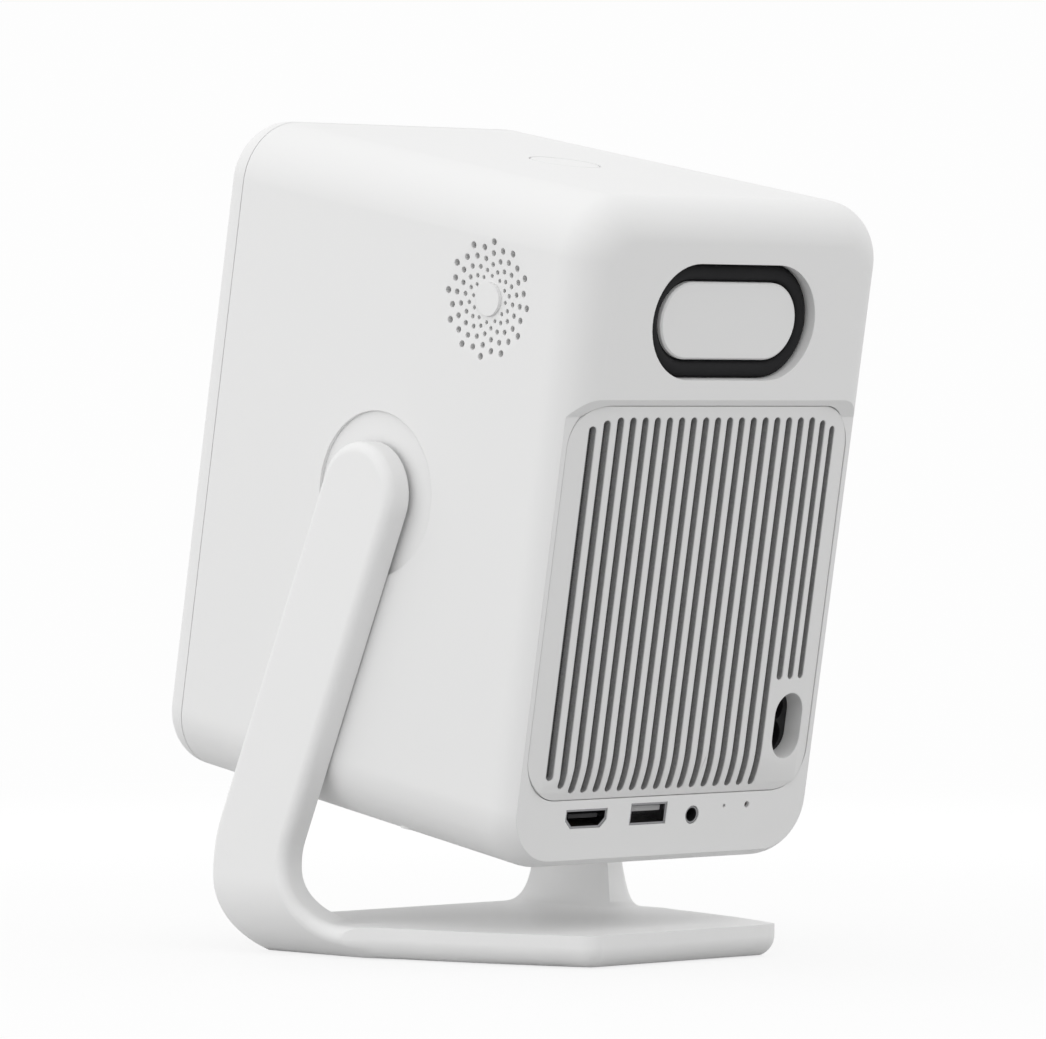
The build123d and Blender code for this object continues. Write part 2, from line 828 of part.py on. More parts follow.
def pivot_pin(side):
    root_end = arm_inner + pin_flange_thickness + pin_root_depth
    pin = side_rod(side, pin_radius, 0, 0, pin_inner_end, root_end)
    pin += side_rod(side, pin_flange_radius, 0, 0, arm_inner, arm_inner + pin_flange_thickness)
    for y, z in pin_screw_places():
        end = arm_inner + pin_flange_thickness + 1
        pin -= side_rod(side, screw_radius + screw_gap, y, z, arm_inner - 1, end)
    return pin


def pin_screws():
    heads = []
    far = arm_inner + pin_flange_thickness + pin_root_depth
    for side in sides.values():
        for y, z in pin_screw_places():
            heads.append(side_rod(side, screw_radius, y, z, arm_inner, far))
    return Part() + heads


def pin_stack(radius, near, far):
    rings = []
    for side in sides.values():
        ring = side_rod(side, radius, 0, 0, near, far)
        rings.append(ring - side_rod(side, pin_radius + screw_gap, 0, 0, near - 1, far + 1))
    return Part() + rings


def friction_washers():
    end = sleeve_inner_end - body_gap
    return pin_stack(washer_radius, end - washer_thickness, end)


def pin_nuts():
    end = sleeve_inner_end - body_gap - washer_thickness
    return pin_stack(nut_radius, end - nut_thickness, end)


def engine_box():
    low = lens_height - engine_height / 2
    high = lens_height + engine_height / 2
    half = engine_half_width
    skin = engine_wall
    box = block((-half, half), (engine_front, engine_rear), (low, high))
    flange = flange_margin
    box += block(
        (-half - flange, half + flange), (engine_front, engine_front + flange_thickness), (low - flange, high + flange)
    )
    tube_radius = barrel_radius + slide_gap + tube_wall
    box += rod_y(tube_radius, 0, lens_height, tube_front, engine_front + 1)
    box -= rod_y(barrel_radius + slide_gap, 0, lens_height, tube_front - 1, engine_front + flange_thickness + 1)
    box -= block(
        (skin - half, half - skin),
        (engine_front + flange_thickness, engine_rear - skin),
        (low + skin, high - skin),
    )
    box -= rod_y(condenser_radius - 2, 0, lens_height, engine_rear - skin - 1, engine_rear + 1)
    for x, z in corners(post_x, post_z):
        clear = screw_radius + screw_gap
        box -= rod_y(clear, x, lens_height + z, engine_front - 1, engine_front + flange_thickness + 1)
    box -= rod_y(focus_screw_radius + slide_gap, -focus_screw_x, lens_height, engine_front - 1, engine_front + 2)
    for y in (front_field_y, panel_y, rear_field_y):
        box += field_rails(y)
    return box + condenser_cell()


# Pairs of rails inside the engine box that hold a flat optic at its top and bottom edges.
def field_rails(y):
    rails = []
    inner = engine_half_width - engine_wall
    reach = engine_height / 2 - engine_wall
    for sign in (1, -1):
        z_range = sorted((lens_height + sign * (reach - rail_depth), lens_height + sign * (reach + 0.5)))
        for start in (y - rail_width - field_lens_thickness / 2, y + field_lens_thickness / 2):
            rails.append(block((-inner - 0.5, inner + 0.5), (start, start + rail_width), z_range))
    return Part() + rails


def condenser_cell():
    outer = condenser_radius + 2
    rear = engine_rear - engine_wall
    front = engine_rear - condenser_cell_length
    ring = rod_y(outer, 0, lens_height, front, rear + 0.5)
    ring -= rod_y(condenser_radius + running_gap, 0, lens_height, front - 1, rear)
    return ring - rod_y(condenser_radius - 2, 0, lens_height, front - 1, engine_rear + 1)


def engine_screws():
    head = engine_front + flange_thickness
    return Part() + [screw_y(x, lens_height + z, head, screw_length) for x, z in corners(post_x, post_z)]


def flat_optic(y, thickness):
    half = engine_half_width - engine_wall - trim_gap
    reach = engine_height / 2 - engine_wall - trim_gap
    z_range = (lens_height - reach, lens_height + reach)
    return block((-half, half), (y - thickness / 2, y + thickness / 2), z_range)


def front_field_lens():
    return flat_optic(front_field_y, field_lens_thickness - 2 * running_gap)


def rear_field_lens():
    return flat_optic(rear_field_y, field_lens_thickness - 2 * running_gap)


def lcd_panel():
    return flat_optic(panel_y, lcd_thickness)


# A plano-convex lens with its flat side at flat_y, bulging forward.
def plano_convex(radius, flat_y, edge, bulge):
    sphere_radius = (radius**2 + bulge**2) / (2 * bulge)
    lens = rod_y(radius, 0, lens_height, flat_y - edge - bulge, flat_y)
    centre_y = flat_y - edge - bulge + sphere_radius
    return lens & (Pos(0, centre_y, lens_height) * Sphere(sphere_radius))


def condenser_lens():
    rear = engine_rear - engine_wall
    return plano_convex(condenser_radius, rear, condenser_thickness / 4, condenser_thickness / 2)


def lens_elements():
    radius = barrel_radius - barrel_wall - running_gap
    glasses = []
    for flat_behind_front, edge, bulge in lens_stack:
        glasses.append(plano_convex(radius, barrel_front + flat_behind_front, edge, bulge))
    return Part() + glasses


def lens_barrel():
    end = barrel_front + barrel_length
    barrel = rod_y(barrel_radius, 0, lens_height, barrel_front, end)
    for side in sides.values():
        start, far = sorted((side * (barrel_radius - 2), side * (focus_screw_x + ear_reach)))
        z_range = (lens_height - ear_half_height, lens_height + ear_half_height)
        barrel += block((start, far), (ear_front, ear_front + ear_length), z_range)
        hole = focus_screw_radius + slide_gap
        barrel -= rod_y(hole, side * focus_screw_x, lens_height, ear_front - 1, ear_front + ear_length + 1)
    return barrel - rod_y(barrel_radius - barrel_wall, 0, lens_height, barrel_front - 1, end + 1)


def guide_rod():
    start = inner_front + body_gap
    return rod_y(focus_screw_radius, -focus_screw_x, lens_height, start, engine_front + 2)


def focus_motor():
    start = engine_front - motor_length
    body = rod_y(motor_radius, focus_screw_x, lens_height, start, engine_front)
    bore = focus_screw_radius + running_gap
    return body - rod_y(bore, focus_screw_x, lens_height, start - 1, start + motor_bore_depth)


def focus_screw():
    start = inner_front + 2 * body_gap
    end = engine_front - motor_length + motor_bore_depth - body_gap
    return rod_y(focus_screw_radius, focus_screw_x, lens_height, start, end)


def led_board():
    half = led_board_half
    z_range = (lens_height - half, lens_height + half)
    board = block((-half, half), (engine_rear, sink_front), z_range)
    emitter_z = (lens_height - emitter_half, lens_height + emitter_half)
    emitter_y = (engine_rear - emitter_height, engine_rear + 0.5)
    return board + block((-emitter_half, emitter_half), emitter_y, emitter_z)


def heat_sink():
    sink = block((-sink_half, sink_half), (sink_front, sink_front + sink_base), (-sink_half, sink_half))
    pitch = (2 * sink_half - fin_thickness) / (fin_count - 1)
    for index in range(fin_count):
        start = index * pitch - sink_half
        sink += block((start, start + fin_thickness), (sink_front, fan_front), (-sink_half, sink_half))
    return sink


def fan_frame():
    frame = block((-fan_half, fan_half), (fan_front, fan_rear), (-fan_half, fan_half))
    frame -= rod_y(fan_bore_radius, 0, 0, fan_front - 1, fan_rear + 1)
    plate_start = fan_rear - fan_end_plate
    frame += rod_y(hub_radius, 0, 0, plate_start, fan_rear)
    for step in range(4):
        strut = block((0, fan_bore_radius + 1), (plate_start, fan_rear), (-2, 2))
        frame += Rot(0, 45 + 90 * step, 0) * strut
    return frame - rod_y(fan_shaft_radius + running_gap, 0, 0, plate_start - 1, fan_rear + 1)


def fan_rotor():
    start = fan_front + 2
    end = fan_rear - fan_end_plate - body_gap
    rotor = rod_y(hub_radius, 0, 0, start, end)
    rotor += rod_y(fan_shaft_radius, 0, 0, end - 1, fan_rear)
    depth = end - start
    reach = blade_radius - hub_radius + 2
    envelope = rod_y(blade_radius, 0, 0, start, end)
    for index in range(blade_count):
        blade = Rot(blade_pitch, 0, 0) * Box(reach, depth * 1.6, blade_thickness)
        blade = Pos(hub_radius - 2 + reach / 2, (start + end) / 2, 0) * blade
        rotor += (Rot(0, 360 / blade_count * index, 0) * blade) & envelope
    return rotor


def main_board():
    half = main_board_half_width
    thick = (main_board_top - board_thickness, main_board_top)
    board = block((-half, half), (main_board_front, main_board_rear), thick)
    for across, back, size, height in main_board_chips:
        x = across * half
        y = main_board_front + back
        chip = block((x - size / 2, x + size / 2), (y - size / 2, y + size / 2), (-0.5, height))
        board += Pos(0, 0, main_board_top) * chip
    return board


def power_board():
    half = power_board_half_width
    top = power_board_top
    board = block((-half, half), (power_board_front, power_board_rear), (top - board_thickness, top))
    across, back, size, share = transformer
    x = across * half
    y = power_board_front + back
    height = share * power_board_room
    board += block((x - size / 2, x + size / 2), (y - size / 2, y + size / 2), (top - 0.5, top + height))
    for across, back, radius, share in capacitors:
        height = share * power_board_room
        board += rod_z(radius, across * half, power_board_front + back, top - 0.5, top + height)
    return board


# A socket on the main board: a block behind the rear wall with a nose that fills the opening.
def board_socket(x, z, outline, margin):
    front = port_face - socket_depth - socket_recess
    mouth = port_face - socket_recess
    shoulder = inner_rear - ledge_thickness - trim_gap
    body = block((x - margin, x + margin), (front, shoulder), (main_board_top, z + socket_top))
    body += along_y(Pos(x, z) * outline(running_gap), shoulder - 1, mouth)
    return body - along_y(Pos(x, z) * outline(socket_skin), front + socket_floor, mouth + 1)


def video_socket():
    socket = board_socket(video_x, port_height, video_outline, video_width / 2 + socket_side_margin)
    tongue_start = port_face - socket_depth
    half = video_width / 2 - video_tongue_inset
    end = port_face - tongue_end_gap
    high = port_height + video_tongue_thickness
    return socket + block((video_x - half, video_x + half), (tongue_start, end), (port_height, high))


def data_socket():
    socket = board_socket(data_x, data_height, data_outline, data_width / 2 + socket_side_margin)
    tongue_start = port_face - socket_depth
    half = data_width / 2 - data_tongue_inset
    end = port_face - tongue_end_gap
    low = data_height + data_tongue_rise
    high = low + data_tongue_thickness
    return socket + block((data_x - half, data_x + half), (tongue_start, end), (low, high))


def audio_jack():
    front = port_face - socket_depth - socket_recess
    mouth = port_face - socket_recess
    shoulder = inner_rear - ledge_thickness - trim_gap
    half = jack_body_half
    body = block((jack_x - half, jack_x + half), (front, shoulder), (main_board_top, jack_height + half))
    body += rod_y(jack_opening_radius - running_gap, jack_x, jack_height, shoulder - 1, mouth)
    return body - rod_y(jack_bore_radius, jack_x, jack_height, mouth - jack_bore_length, mouth + 1)


def power_inlet():
    face = pivot_to_rear - inlet_recess
    back = face - inlet_block_depth
    width = inlet_width + 2 * inlet_collar
    length = inlet_length + 2 * inlet_collar
    centre = Pos(inlet_x, inlet_height)
    body = along_y(centre * Rectangle(width, length), back, face)
    lobe = inlet_width / 2 - inlet_lobe_inset
    spacing = inlet_pin_spacing / 2
    for sign in (1, -1):
        z = inlet_height + sign * spacing
        body -= rod_y(lobe, inlet_x, z, face - inlet_bore_depth, face + 1)
    for sign in (1, -1):
        z = inlet_height + sign * spacing
        body += rod_y(inlet_pin_radius, inlet_x, z, face - 13, face - 2)
    return body


def board_screws():
    screws = []
    for x, y in main_post_places():
        screws.append(rod_z(screw_head_radius, x, y, main_board_top, main_board_top + screw_head_height))
    for x, y in power_post_places():
        screws.append(rod_z(screw_head_radius, x, y, power_board_top, power_board_top + screw_head_height))
    return Part() + screws


# Side view of the stand: the leaning arm with its round head, blended into the foot plate.
def arm_points():
    rear_top = (arm_radius * arm_cos, pivot_height - arm_radius * arm_sin)
    front_top = (-arm_radius * arm_cos, arm_front_top)
    return rear_top, front_top, (-plate_front, toe_height)


def rear_edge_at(height):
    rear_top = arm_points()[0]
    return rear_top[0] - (rear_top[1] - height) * arm_sin / arm_cos


# The foot's round toe, bends and lower edge reach below the underside, which cuts them crisp.
def side_outline():
    rear_top, front_top, toe = arm_points()
    low = pad_stand_off - bend_sink
    heel = (rear_edge_at(plate_top), plate_top)
    sole = (-plate_front, low)
    points = [rear_top, heel, (plate_rear, plate_top), (plate_rear, low), sole, toe, front_top]
    outline = make_face(Polyline(*points, close=True))
    outline = fillet(nearest_vertex(outline, *toe), toe_blend_radius)
    outline = fillet(nearest_vertex(outline, *sole), bend_outer_radius)
    outline = fillet(nearest_vertex(outline, *heel), foot_blend_radius)
    return outline + Pos(0, pivot_height) * Circle(arm_radius)


def front_outline():
    top = pivot_height + 2 * arm_radius
    low = pad_stand_off - bend_sink
    outer = Pos(0, (top + low) / 2) * Rectangle(2 * arm_outer, top - low)
    outer = fillet(outer.vertices().group_by(Axis.Y)[0], bend_outer_radius)
    outer = outer & Pos(0, (top + pad_stand_off) / 2) * Rectangle(2 * arm_outer, top - pad_stand_off)
    inner = Pos(0, (2 * top + plate_top) / 2) * Rectangle(2 * arm_inner, 2 * top - plate_top)
    return outer - fillet(inner.vertices().group_by(Axis.Y)[0], bend_inner_radius)


# Plan of the foot plate: its sides draw in towards the rear along large arcs.
def plate_outline(margin):
    middle_x = plate_side_at(plate_run / 2 - plate_front) - margin
    middle_y = plate_run / 2 - plate_front
    front_right = (plate_front_half - margin, margin - plate_front)
    front_left = (margin - plate_front_half, margin - plate_front)
    rear_right = (plate_rear_half - margin, plate_rear - margin)
    rear_left = (margin - plate_rear_half, plate_rear - margin)
    outline = make_face(
        Curve()
        + [
            ThreePointArc(front_right, (middle_x, middle_y), rear_right),
            Line(rear_right, rear_left),
            ThreePointArc(rear_left, (-middle_x, middle_y), front_left),
            Line(front_left, front_right),
        ]
    )
    rear_corners = [nearest_vertex(outline, *rear_right), nearest_vertex(outline, *rear_left)]
    return fillet(rear_corners, plate_corner_radius)


def plate_side_at(y):
    return plate_front_half - sag(plate_side_radius, y + plate_front)


# Plan of the whole foot: the plate's sides flare out to the arms in front of the heel.
def foot_outline():
    front = (arm_outer, -2 * plate_front)
    shoulder = (arm_outer, -flare_front)
    waist = (plate_side_at(flare_rear), flare_rear)
    right = [front, shoulder, waist]
    left = [(-x, y) for x, y in reversed(right)]
    outline = plate_outline(0) + make_face(Polyline(*right, *left, close=True))
    for place, radius in ((shoulder, flare_front_radius), (waist, flare_rear_radius)):
        mirrored = (-place[0], place[1])
        corner_pair = [nearest_vertex(outline, *place), nearest_vertex(outline, *mirrored)]
        outline = fillet(corner_pair, radius)
    return outline


# The outer ridges: edges that rise along the arms' outer faces and the bends below them.
def outer_ridges(shape):
    ridges = []
    for edge in shape.edges():
        box = edge.bounding_box()
        outermost = max(abs(box.min.X), abs(box.max.X))
        innermost = min(abs(box.min.X), abs(box.max.X))
        rises = box.size.Z > 0.5 and box.max.Y < plate_rear - 1
        if rises and outermost > arm_outer - bend_sink and innermost > arm_outer - bend_outer_radius:
            ridges.append(edge)
    return ridges


def plate_screw_places():
    half_x = weight_half - plate_screw_inset
    half_y = plate_screw_spacing_y / 2
    return [(x, plate_screw_centre + y) for x, y in corners(half_x, half_y)]


# Everything behind the arms' rear edges is cut away, except the foot.
def stand_yoke():
    u_shape = along_y(front_outline(), -2 * plate_front, 2 * plate_rear)
    yoke = u_shape & along_x(side_outline(), -2 * arm_outer, 2 * arm_outer)
    yoke = fillet(outer_ridges(yoke), arm_edge_radius)
    low = pad_stand_off - plate_edge_sink
    foot = along_z(foot_outline(), low, 2 * pivot_height)
    under = [edge for edge in foot.edges() if edge.bounding_box().max.Z < low + 0.01]
    under = [edge for edge in under if edge.bounding_box().max.Y > -2 * plate_front + 1]
    foot = fillet(under, plate_edge_radius)
    top = 2 * pivot_height
    edge_points = [(rear_edge_at(-1), -1), (rear_edge_at(top), top)]
    behind = make_face(Polyline(*edge_points, (2 * plate_rear, top), (2 * plate_rear, -1), close=True))
    yoke -= along_x(behind, -2 * arm_outer, 2 * arm_outer) - foot
    yoke -= along_z(plate_outline(pad_margin) & pad_window(), 0, pad_thickness)
    yoke -= along_z(weight_outline(weight_gap), 0, pad_thickness + weight_thickness + weight_gap)
    for x, y in plate_screw_places():
        yoke -= rod_z(screw_radius + screw_gap, x, y, 0, plate_top - 1)
    for side in sides.values():
        seat = arm_inner + pin_flange_thickness
        yoke -= side_rod(side, pin_flange_radius + running_gap, 0, pivot_height, arm_inner - 1, seat)
        yoke -= side_rod(side, pin_radius + running_gap, 0, pivot_height, arm_inner, seat + pin_root_depth)
        for y, z in pin_screw_places():
            hole = screw_radius + screw_gap
            yoke -= side_rod(side, hole, y, z + pivot_height, arm_inner, seat + pin_root_depth)
    return yoke


# The pad and the steel plate stay inside the flat part of the underside, clear of the bends.
def pad_window():
    half = arm_outer - bend_outer_radius
    front = sole_front - pad_margin
    centre = (plate_rear - front) / 2
    return Pos(0, centre) * Rectangle(2 * half, plate_rear + front)


def weight_outline(gap):
    front = weight_margin - sole_front
    rear = plate_rear - weight_margin
    width = 2 * (weight_half + gap)
    outline = RectangleRounded(width, rear - front + 2 * gap, weight_corner_radius)
    outline = Pos(0, (front + rear) / 2) * outline
    return outline & plate_outline(weight_margin - gap)


def base_weight():
    weight = along_z(weight_outline(0), pad_thickness, pad_thickness + weight_thickness)
    for x, y in plate_screw_places():
        weight -= rod_z(screw_radius + screw_gap, x, y, 0, plate_top)
    return weight


def weight_screws():
    top = pad_thickness + weight_thickness
    return Part() + [rod_z(screw_radius, x, y, pad_thickness, top + 1) for x, y in plate_screw_places()]


def base_pad():
    return along_z(plate_outline(pad_margin + trim_gap) & pad_window(), 0, pad_thickness)


def stand_nodes():
    raise_to_pivot = Pos(0, 0, pivot_height)
    nodes = {
        "stand_yoke": stand_yoke(),
        "base_weight": base_weight(),
        "weight_screws": weight_screws(),
        "base_pad": base_pad(),
        "pin_screws": raise_to_pivot * pin_screws(),
        "friction_washers": raise_to_pivot * friction_washers(),
        "pin_nuts": raise_to_pivot * pin_nuts(),
    }
    for name, side in sides.items():
        nodes[f"pivot_pin_{name}"] = raise_to_pivot * pivot_pin(side)
    return nodes


def projector_nodes():
    nodes = {
        "main_housing": main_housing(),
        "front_cover": front_cover(),
        "cover_screws": cover_screws(),
        "lens_window": lens_window(),
        "receiver_window": receiver_window(),
        "rear_grille": rear_grille(),
        "dust_filter": dust_filter(),
        "radiator_surround": radiator_surround(),
        "radiator_plate": radiator_plate(),
        "speaker_box": speaker_box(),
        "power_button": power_button(),
        "button_board": button_board(),
        "engine_box": engine_box(),
        "engine_screws": engine_screws(),
        "front_field_lens": front_field_lens(),
        "lcd_panel": lcd_panel(),
        "rear_field_lens": rear_field_lens(),
        "condenser_lens": condenser_lens(),
        "led_board": led_board(),
        "lens_barrel": lens_barrel(),
        "lens_elements": lens_elements(),
        "guide_rod": guide_rod(),
        "focus_motor": focus_motor(),
        "focus_screw": focus_screw(),
        "heat_sink": heat_sink(),
        "fan_frame": fan_frame(),
        "fan_rotor": fan_rotor(),
        "main_board": main_board(),
        "power_board": power_board(),
        "board_screws": board_screws(),
        "video_socket": video_socket(),
        "data_socket": data_socket(),
        "audio_jack": audio_jack(),
        "power_inlet": power_inlet(),
    }
    for name, side in sides.items():
        nodes[f"hinge_sleeve_{name}"] = hinge_sleeve(side)
        nodes[f"speaker_frame_{name}"] = speaker_frame(side)
        nodes[f"speaker_surround_{name}"] = speaker_surround(side)
        nodes[f"speaker_cone_{name}"] = speaker_cone(side)
    leaned_back = Pos(0, 0, pivot_height) * Rot(-rest_tilt, 0, 0)
    return {name: leaned_back * node for name, node in nodes.items()}


os.makedirs("parts", exist_ok=True)
for name, node in {**stand_nodes(), **projector_nodes()}.items():
    export_step(node, f"parts/{name}.step")
    print(name, len(node.solids()), round(node.volume, 1))
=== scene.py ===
import math

import bmesh
import bpy
from mathutils import Matrix, Vector


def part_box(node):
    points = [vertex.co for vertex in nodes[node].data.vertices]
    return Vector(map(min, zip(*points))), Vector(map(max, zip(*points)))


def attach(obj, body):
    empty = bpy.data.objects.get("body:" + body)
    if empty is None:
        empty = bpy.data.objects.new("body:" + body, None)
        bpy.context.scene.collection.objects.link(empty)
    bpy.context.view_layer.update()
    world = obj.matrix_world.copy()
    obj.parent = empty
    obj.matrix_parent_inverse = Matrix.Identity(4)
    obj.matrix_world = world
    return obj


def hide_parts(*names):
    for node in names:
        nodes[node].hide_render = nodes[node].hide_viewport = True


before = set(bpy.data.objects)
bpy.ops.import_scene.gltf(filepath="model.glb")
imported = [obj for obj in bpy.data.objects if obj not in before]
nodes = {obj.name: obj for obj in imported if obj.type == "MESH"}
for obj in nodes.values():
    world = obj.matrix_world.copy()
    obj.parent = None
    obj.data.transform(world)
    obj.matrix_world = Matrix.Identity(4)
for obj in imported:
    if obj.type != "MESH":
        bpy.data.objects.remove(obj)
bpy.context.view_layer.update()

tilt = math.radians(10.16)
pivotHeight = 0.1275


# a point on the leaning body (x, rear and up from the pivot, in millimetres) in the shared frame, in metres
def bodyPoint(x, rear, up):
    y = rear * math.cos(tilt) + up * math.sin(tilt)
    z = up * math.cos(tilt) - rear * math.sin(tilt)
    return Vector((x, y, z + pivotHeight * 1000)) / 1000


cameraSettings = {
    "azimuth": 43.373,
    "elevation": 0.669,
    "distance": 1.98573,
    "lens": 246.054,
    "sensor": 36.0,
    "shiftX": -0.005814,
    "shiftY": -0.026345,
    "nearest": 0.05,
    "furthest": 50.0,
}

stageSettings = {
    "white": 0.985,
    "floorSize": 12.0,
    "floorColour": 0.5,
    "shadowShare": 0.35,
    "shadowNear": 0.25,
    "shadowFar": 0.9,
    "fill": 1.04,
    "nearGlow": 0.7,
}

lampAim = (0, 0, 0.12)
lamps = {
    "keySoftbox": {"place": (2.8, -1.0, 0.3), "width": 1.8, "power": 18},
    "sideSoftbox": {"place": (2.9, 0.0, 0.9), "width": 1.8, "power": 1.5},
    "topSoftbox": {"place": (0.3, -0.6, 2.6), "width": 2.2, "power": 1},
}


def linkObject(name, data):
    thing = bpy.data.objects.new(name, data)
    bpy.context.scene.collection.objects.link(thing)
    return thing


def addCamera(settings):
    azimuth = math.radians(settings["azimuth"])
    elevation = math.radians(settings["elevation"])
    back = Vector((
        math.sin(azimuth) * math.cos(elevation),
        math.cos(azimuth) * math.cos(elevation),
        math.sin(elevation),
    ))
    data = bpy.data.cameras.new("photoCamera")
    data.lens = settings["lens"]
    data.sensor_width = settings["sensor"]
    data.shift_x = settings["shiftX"]
    data.shift_y = settings["shiftY"]
    data.clip_start = settings["nearest"]
    data.clip_end = settings["furthest"]
    camera = linkObject("photoCamera", data)
    camera.location = bodyPoint(0, 0, 0) + back * settings["distance"]
    camera.rotation_mode = "QUATERNION"
    camera.rotation_quaternion = (-back).to_track_quat("-Z", "Y")
    bpy.context.scene.camera = camera


def addLamp(name, settings):
    data = bpy.data.lights.new(name, "AREA")
    data.shape = "SQUARE"
    data.size = settings["width"]
    data.energy = settings["power"]
    lamp = linkObject(name, data)
    lamp.location = settings["place"]
    aim = Vector(lampAim) - Vector(settings["place"])
    lamp.rotation_euler = aim.to_track_quat("-Z", "Y").to_euler()


# shader maths: a socket that knows +, -, *, / and a few comparisons
class Value:
    def __init__(self, graph, socket):
        self.graph = graph
        self.socket = socket

    def maths(self, operation, *values):
        return self.graph.node("ShaderNodeMath", {"operation": operation}, list(values))

    def __add__(self, other):
        return self.maths("ADD", self, other)

    def __radd__(self, other):
        return self.maths("ADD", other, self)

    def __sub__(self, other):
        return self.maths("SUBTRACT", self, other)

    def __rsub__(self, other):
        return self.maths("SUBTRACT", other, self)

    def __mul__(self, other):
        return self.maths("MULTIPLY", self, other)

    def __rmul__(self, other):
        return self.maths("MULTIPLY", other, self)

    def __truediv__(self, other):
        return self.maths("DIVIDE", self, other)

    def __gt__(self, other):
        return self.maths("GREATER_THAN", self, other)

    def __lt__(self, other):
        return self.maths("LESS_THAN", self, other)

    def size(self):
        return self.maths("ABSOLUTE", self)

    def wave(self):
        return self.maths("SINE", self)

    def rounded(self):
        return self.maths("ROUND", self)

    def root(self):
        return self.maths("SQRT", self)

    def larger(self, other):
        return self.maths("MAXIMUM", self, other)


class Graph:
    def __init__(self, tree):
        self.tree = tree

    # any node: its settings first, then its inputs by name or in order
    def node(self, kind, settings=None, inputs=None, output=0):
        made = self.tree.nodes.new(kind)
        for key, value in (settings or {}).items():
            setattr(made, key, value)
        pairs = inputs.items() if isinstance(inputs, dict) else enumerate(inputs or [])
        for key, value in pairs:
            socket = made.inputs[key]
            if isinstance(value, Value):
                self.tree.links.new(value.socket, socket)
            else:
                socket.default_value = value
        return Value(self, made.outputs[output])

    def place(self, turn=(0, 0, 0)):
        coordinates = self.node("ShaderNodeTexCoord", output="Object")
        if not any(turn):
            return coordinates
        return self.node("ShaderNodeMapping", {}, {"Vector": coordinates, "Rotation": turn})

    # the named axes of a vector, each as a value
    def split(self, vector, axes):
        parts = self.node("ShaderNodeSeparateXYZ", {}, {"Vector": vector})
        outputs = parts.socket.node.outputs
        return [Value(self, outputs[axis]) for axis in axes]

    # 1 for a ray that shows a surface, straight, in a reflection or through glass; 0 for one that lights
    def seenRays(self):
        path = self.node("ShaderNodeLightPath")
        outputs = path.socket.node.outputs
        camera, glossy, through = [
            Value(self, outputs["Is " + kind + " Ray"]) for kind in ("Camera", "Glossy", "Transmission")
        ]
        return camera.larger(glossy).larger(through)

    def noise(self, vector, scale, detail=2.0, rough=0.5):
        inputs = {"Vector": vector, "Scale": scale, "Detail": detail, "Roughness": rough}
        return self.node("ShaderNodeTexNoise", {}, inputs, "Fac")

    def stretched(self, vector, stretch):
        return self.node("ShaderNodeMapping", {}, {"Vector": vector, "Scale": stretch})

    def mix(self, share, first, second):
        made = self.tree.nodes.new("ShaderNodeMix")
        made.data_type = "RGBA"
        for index, value in ((0, share), (6, first), (7, second)):
            if isinstance(value, Value):
                self.tree.links.new(value.socket, made.inputs[index])
            elif index == 0:
                made.inputs[index].default_value = value
            else:
                made.inputs[index].default_value = (*value, 1)
        return Value(self, made.outputs[2])

    def bump(self, height, distance, strength=1.0, normal=None):
        inputs = {"Height": height, "Distance": distance, "Strength": strength}
        if normal:
            inputs["Normal"] = normal
        return self.node("ShaderNodeBump", {}, inputs)


def emptyGraph(owner):
    owner.use_nodes = True
    owner.node_tree.nodes.clear()
    return Graph(owner.node_tree)


def newFinish(name):
    material = bpy.data.materials.new(name)
    return material, emptyGraph(material)


def showSurface(graph, shader, kind="ShaderNodeOutputMaterial"):
    made = graph.tree.nodes.new(kind)
    graph.tree.links.new(shader.socket, made.inputs["Surface"])


# the underscores in the names stand for the spaces in the shader's own input names
def surface(graph, **inputs):
    named = {key.replace("_", " "): value for key, value in inputs.items()}
    showSurface(graph, graph.node("ShaderNodeBsdfPrincipled", {}, named))


mouldedSettings = {
    "grain": 2600.0, "grainDepth": 0.00001, "grainRough": 0.6, "cloud": 14.0, "cloudShare": 0.7,
    "darker": 0.975, "edgeRound": 0.0003, "edgeSamples": 4, "sheen": 0.25,
    "smoother": 0.04, "roughByCloud": 0.06, "roughByGrain": 0.04,
}


def scaled(colour, share):
    return tuple(shade * share for shade in colour)


# what moulded plastic has in common: its cloudiness, its grain, its colour and its softened edges
def mouldedParts(graph, where, colour, edge, grainDepth):
    settings = mouldedSettings
    cloud = graph.noise(where, settings["cloud"], 3)
    grain = graph.noise(where, settings["grain"], 2, settings["grainRough"])
    share = cloud * settings["cloudShare"] + grain * (1 - settings["cloudShare"])
    base = graph.mix(share, scaled(colour, settings["darker"]), colour)
    rounded = graph.node("ShaderNodeBevel", {"samples": settings["edgeSamples"]}, {"Radius": edge})
    return cloud, grain, base, graph.bump(grain, grainDepth, 1.0, rounded)


# fine spark-eroded texture on moulded plastic, with a faint cloudiness in its colour
def mouldedPlastic(name, colour, rough, edge=None, grainDepth=None):
    material, graph = newFinish(name)
    settings = mouldedSettings
    edge = edge or settings["edgeRound"]
    grainDepth = grainDepth or settings["grainDepth"]
    cloud, grain, base, normal = mouldedParts(graph, graph.place(), colour, edge, grainDepth)
    rough = rough - settings["smoother"] + cloud * settings["roughByCloud"] + grain * settings["roughByGrain"]
    surface(graph, Base_Color=base, Roughness=rough, Normal=normal, Specular_IOR_Level=settings["sheen"])
    return material


paintSettings = {
    "peel": 900.0, "peelDepth": 0.000012, "peelShare": 0.6, "grain": 3200.0, "grainRough": 0.6,
    "cloud": 10.0, "cloudShare": 0.6, "darker": 0.98, "sheen": 0.25, "smoother": 0.04, "roughByCloud": 0.08,
}


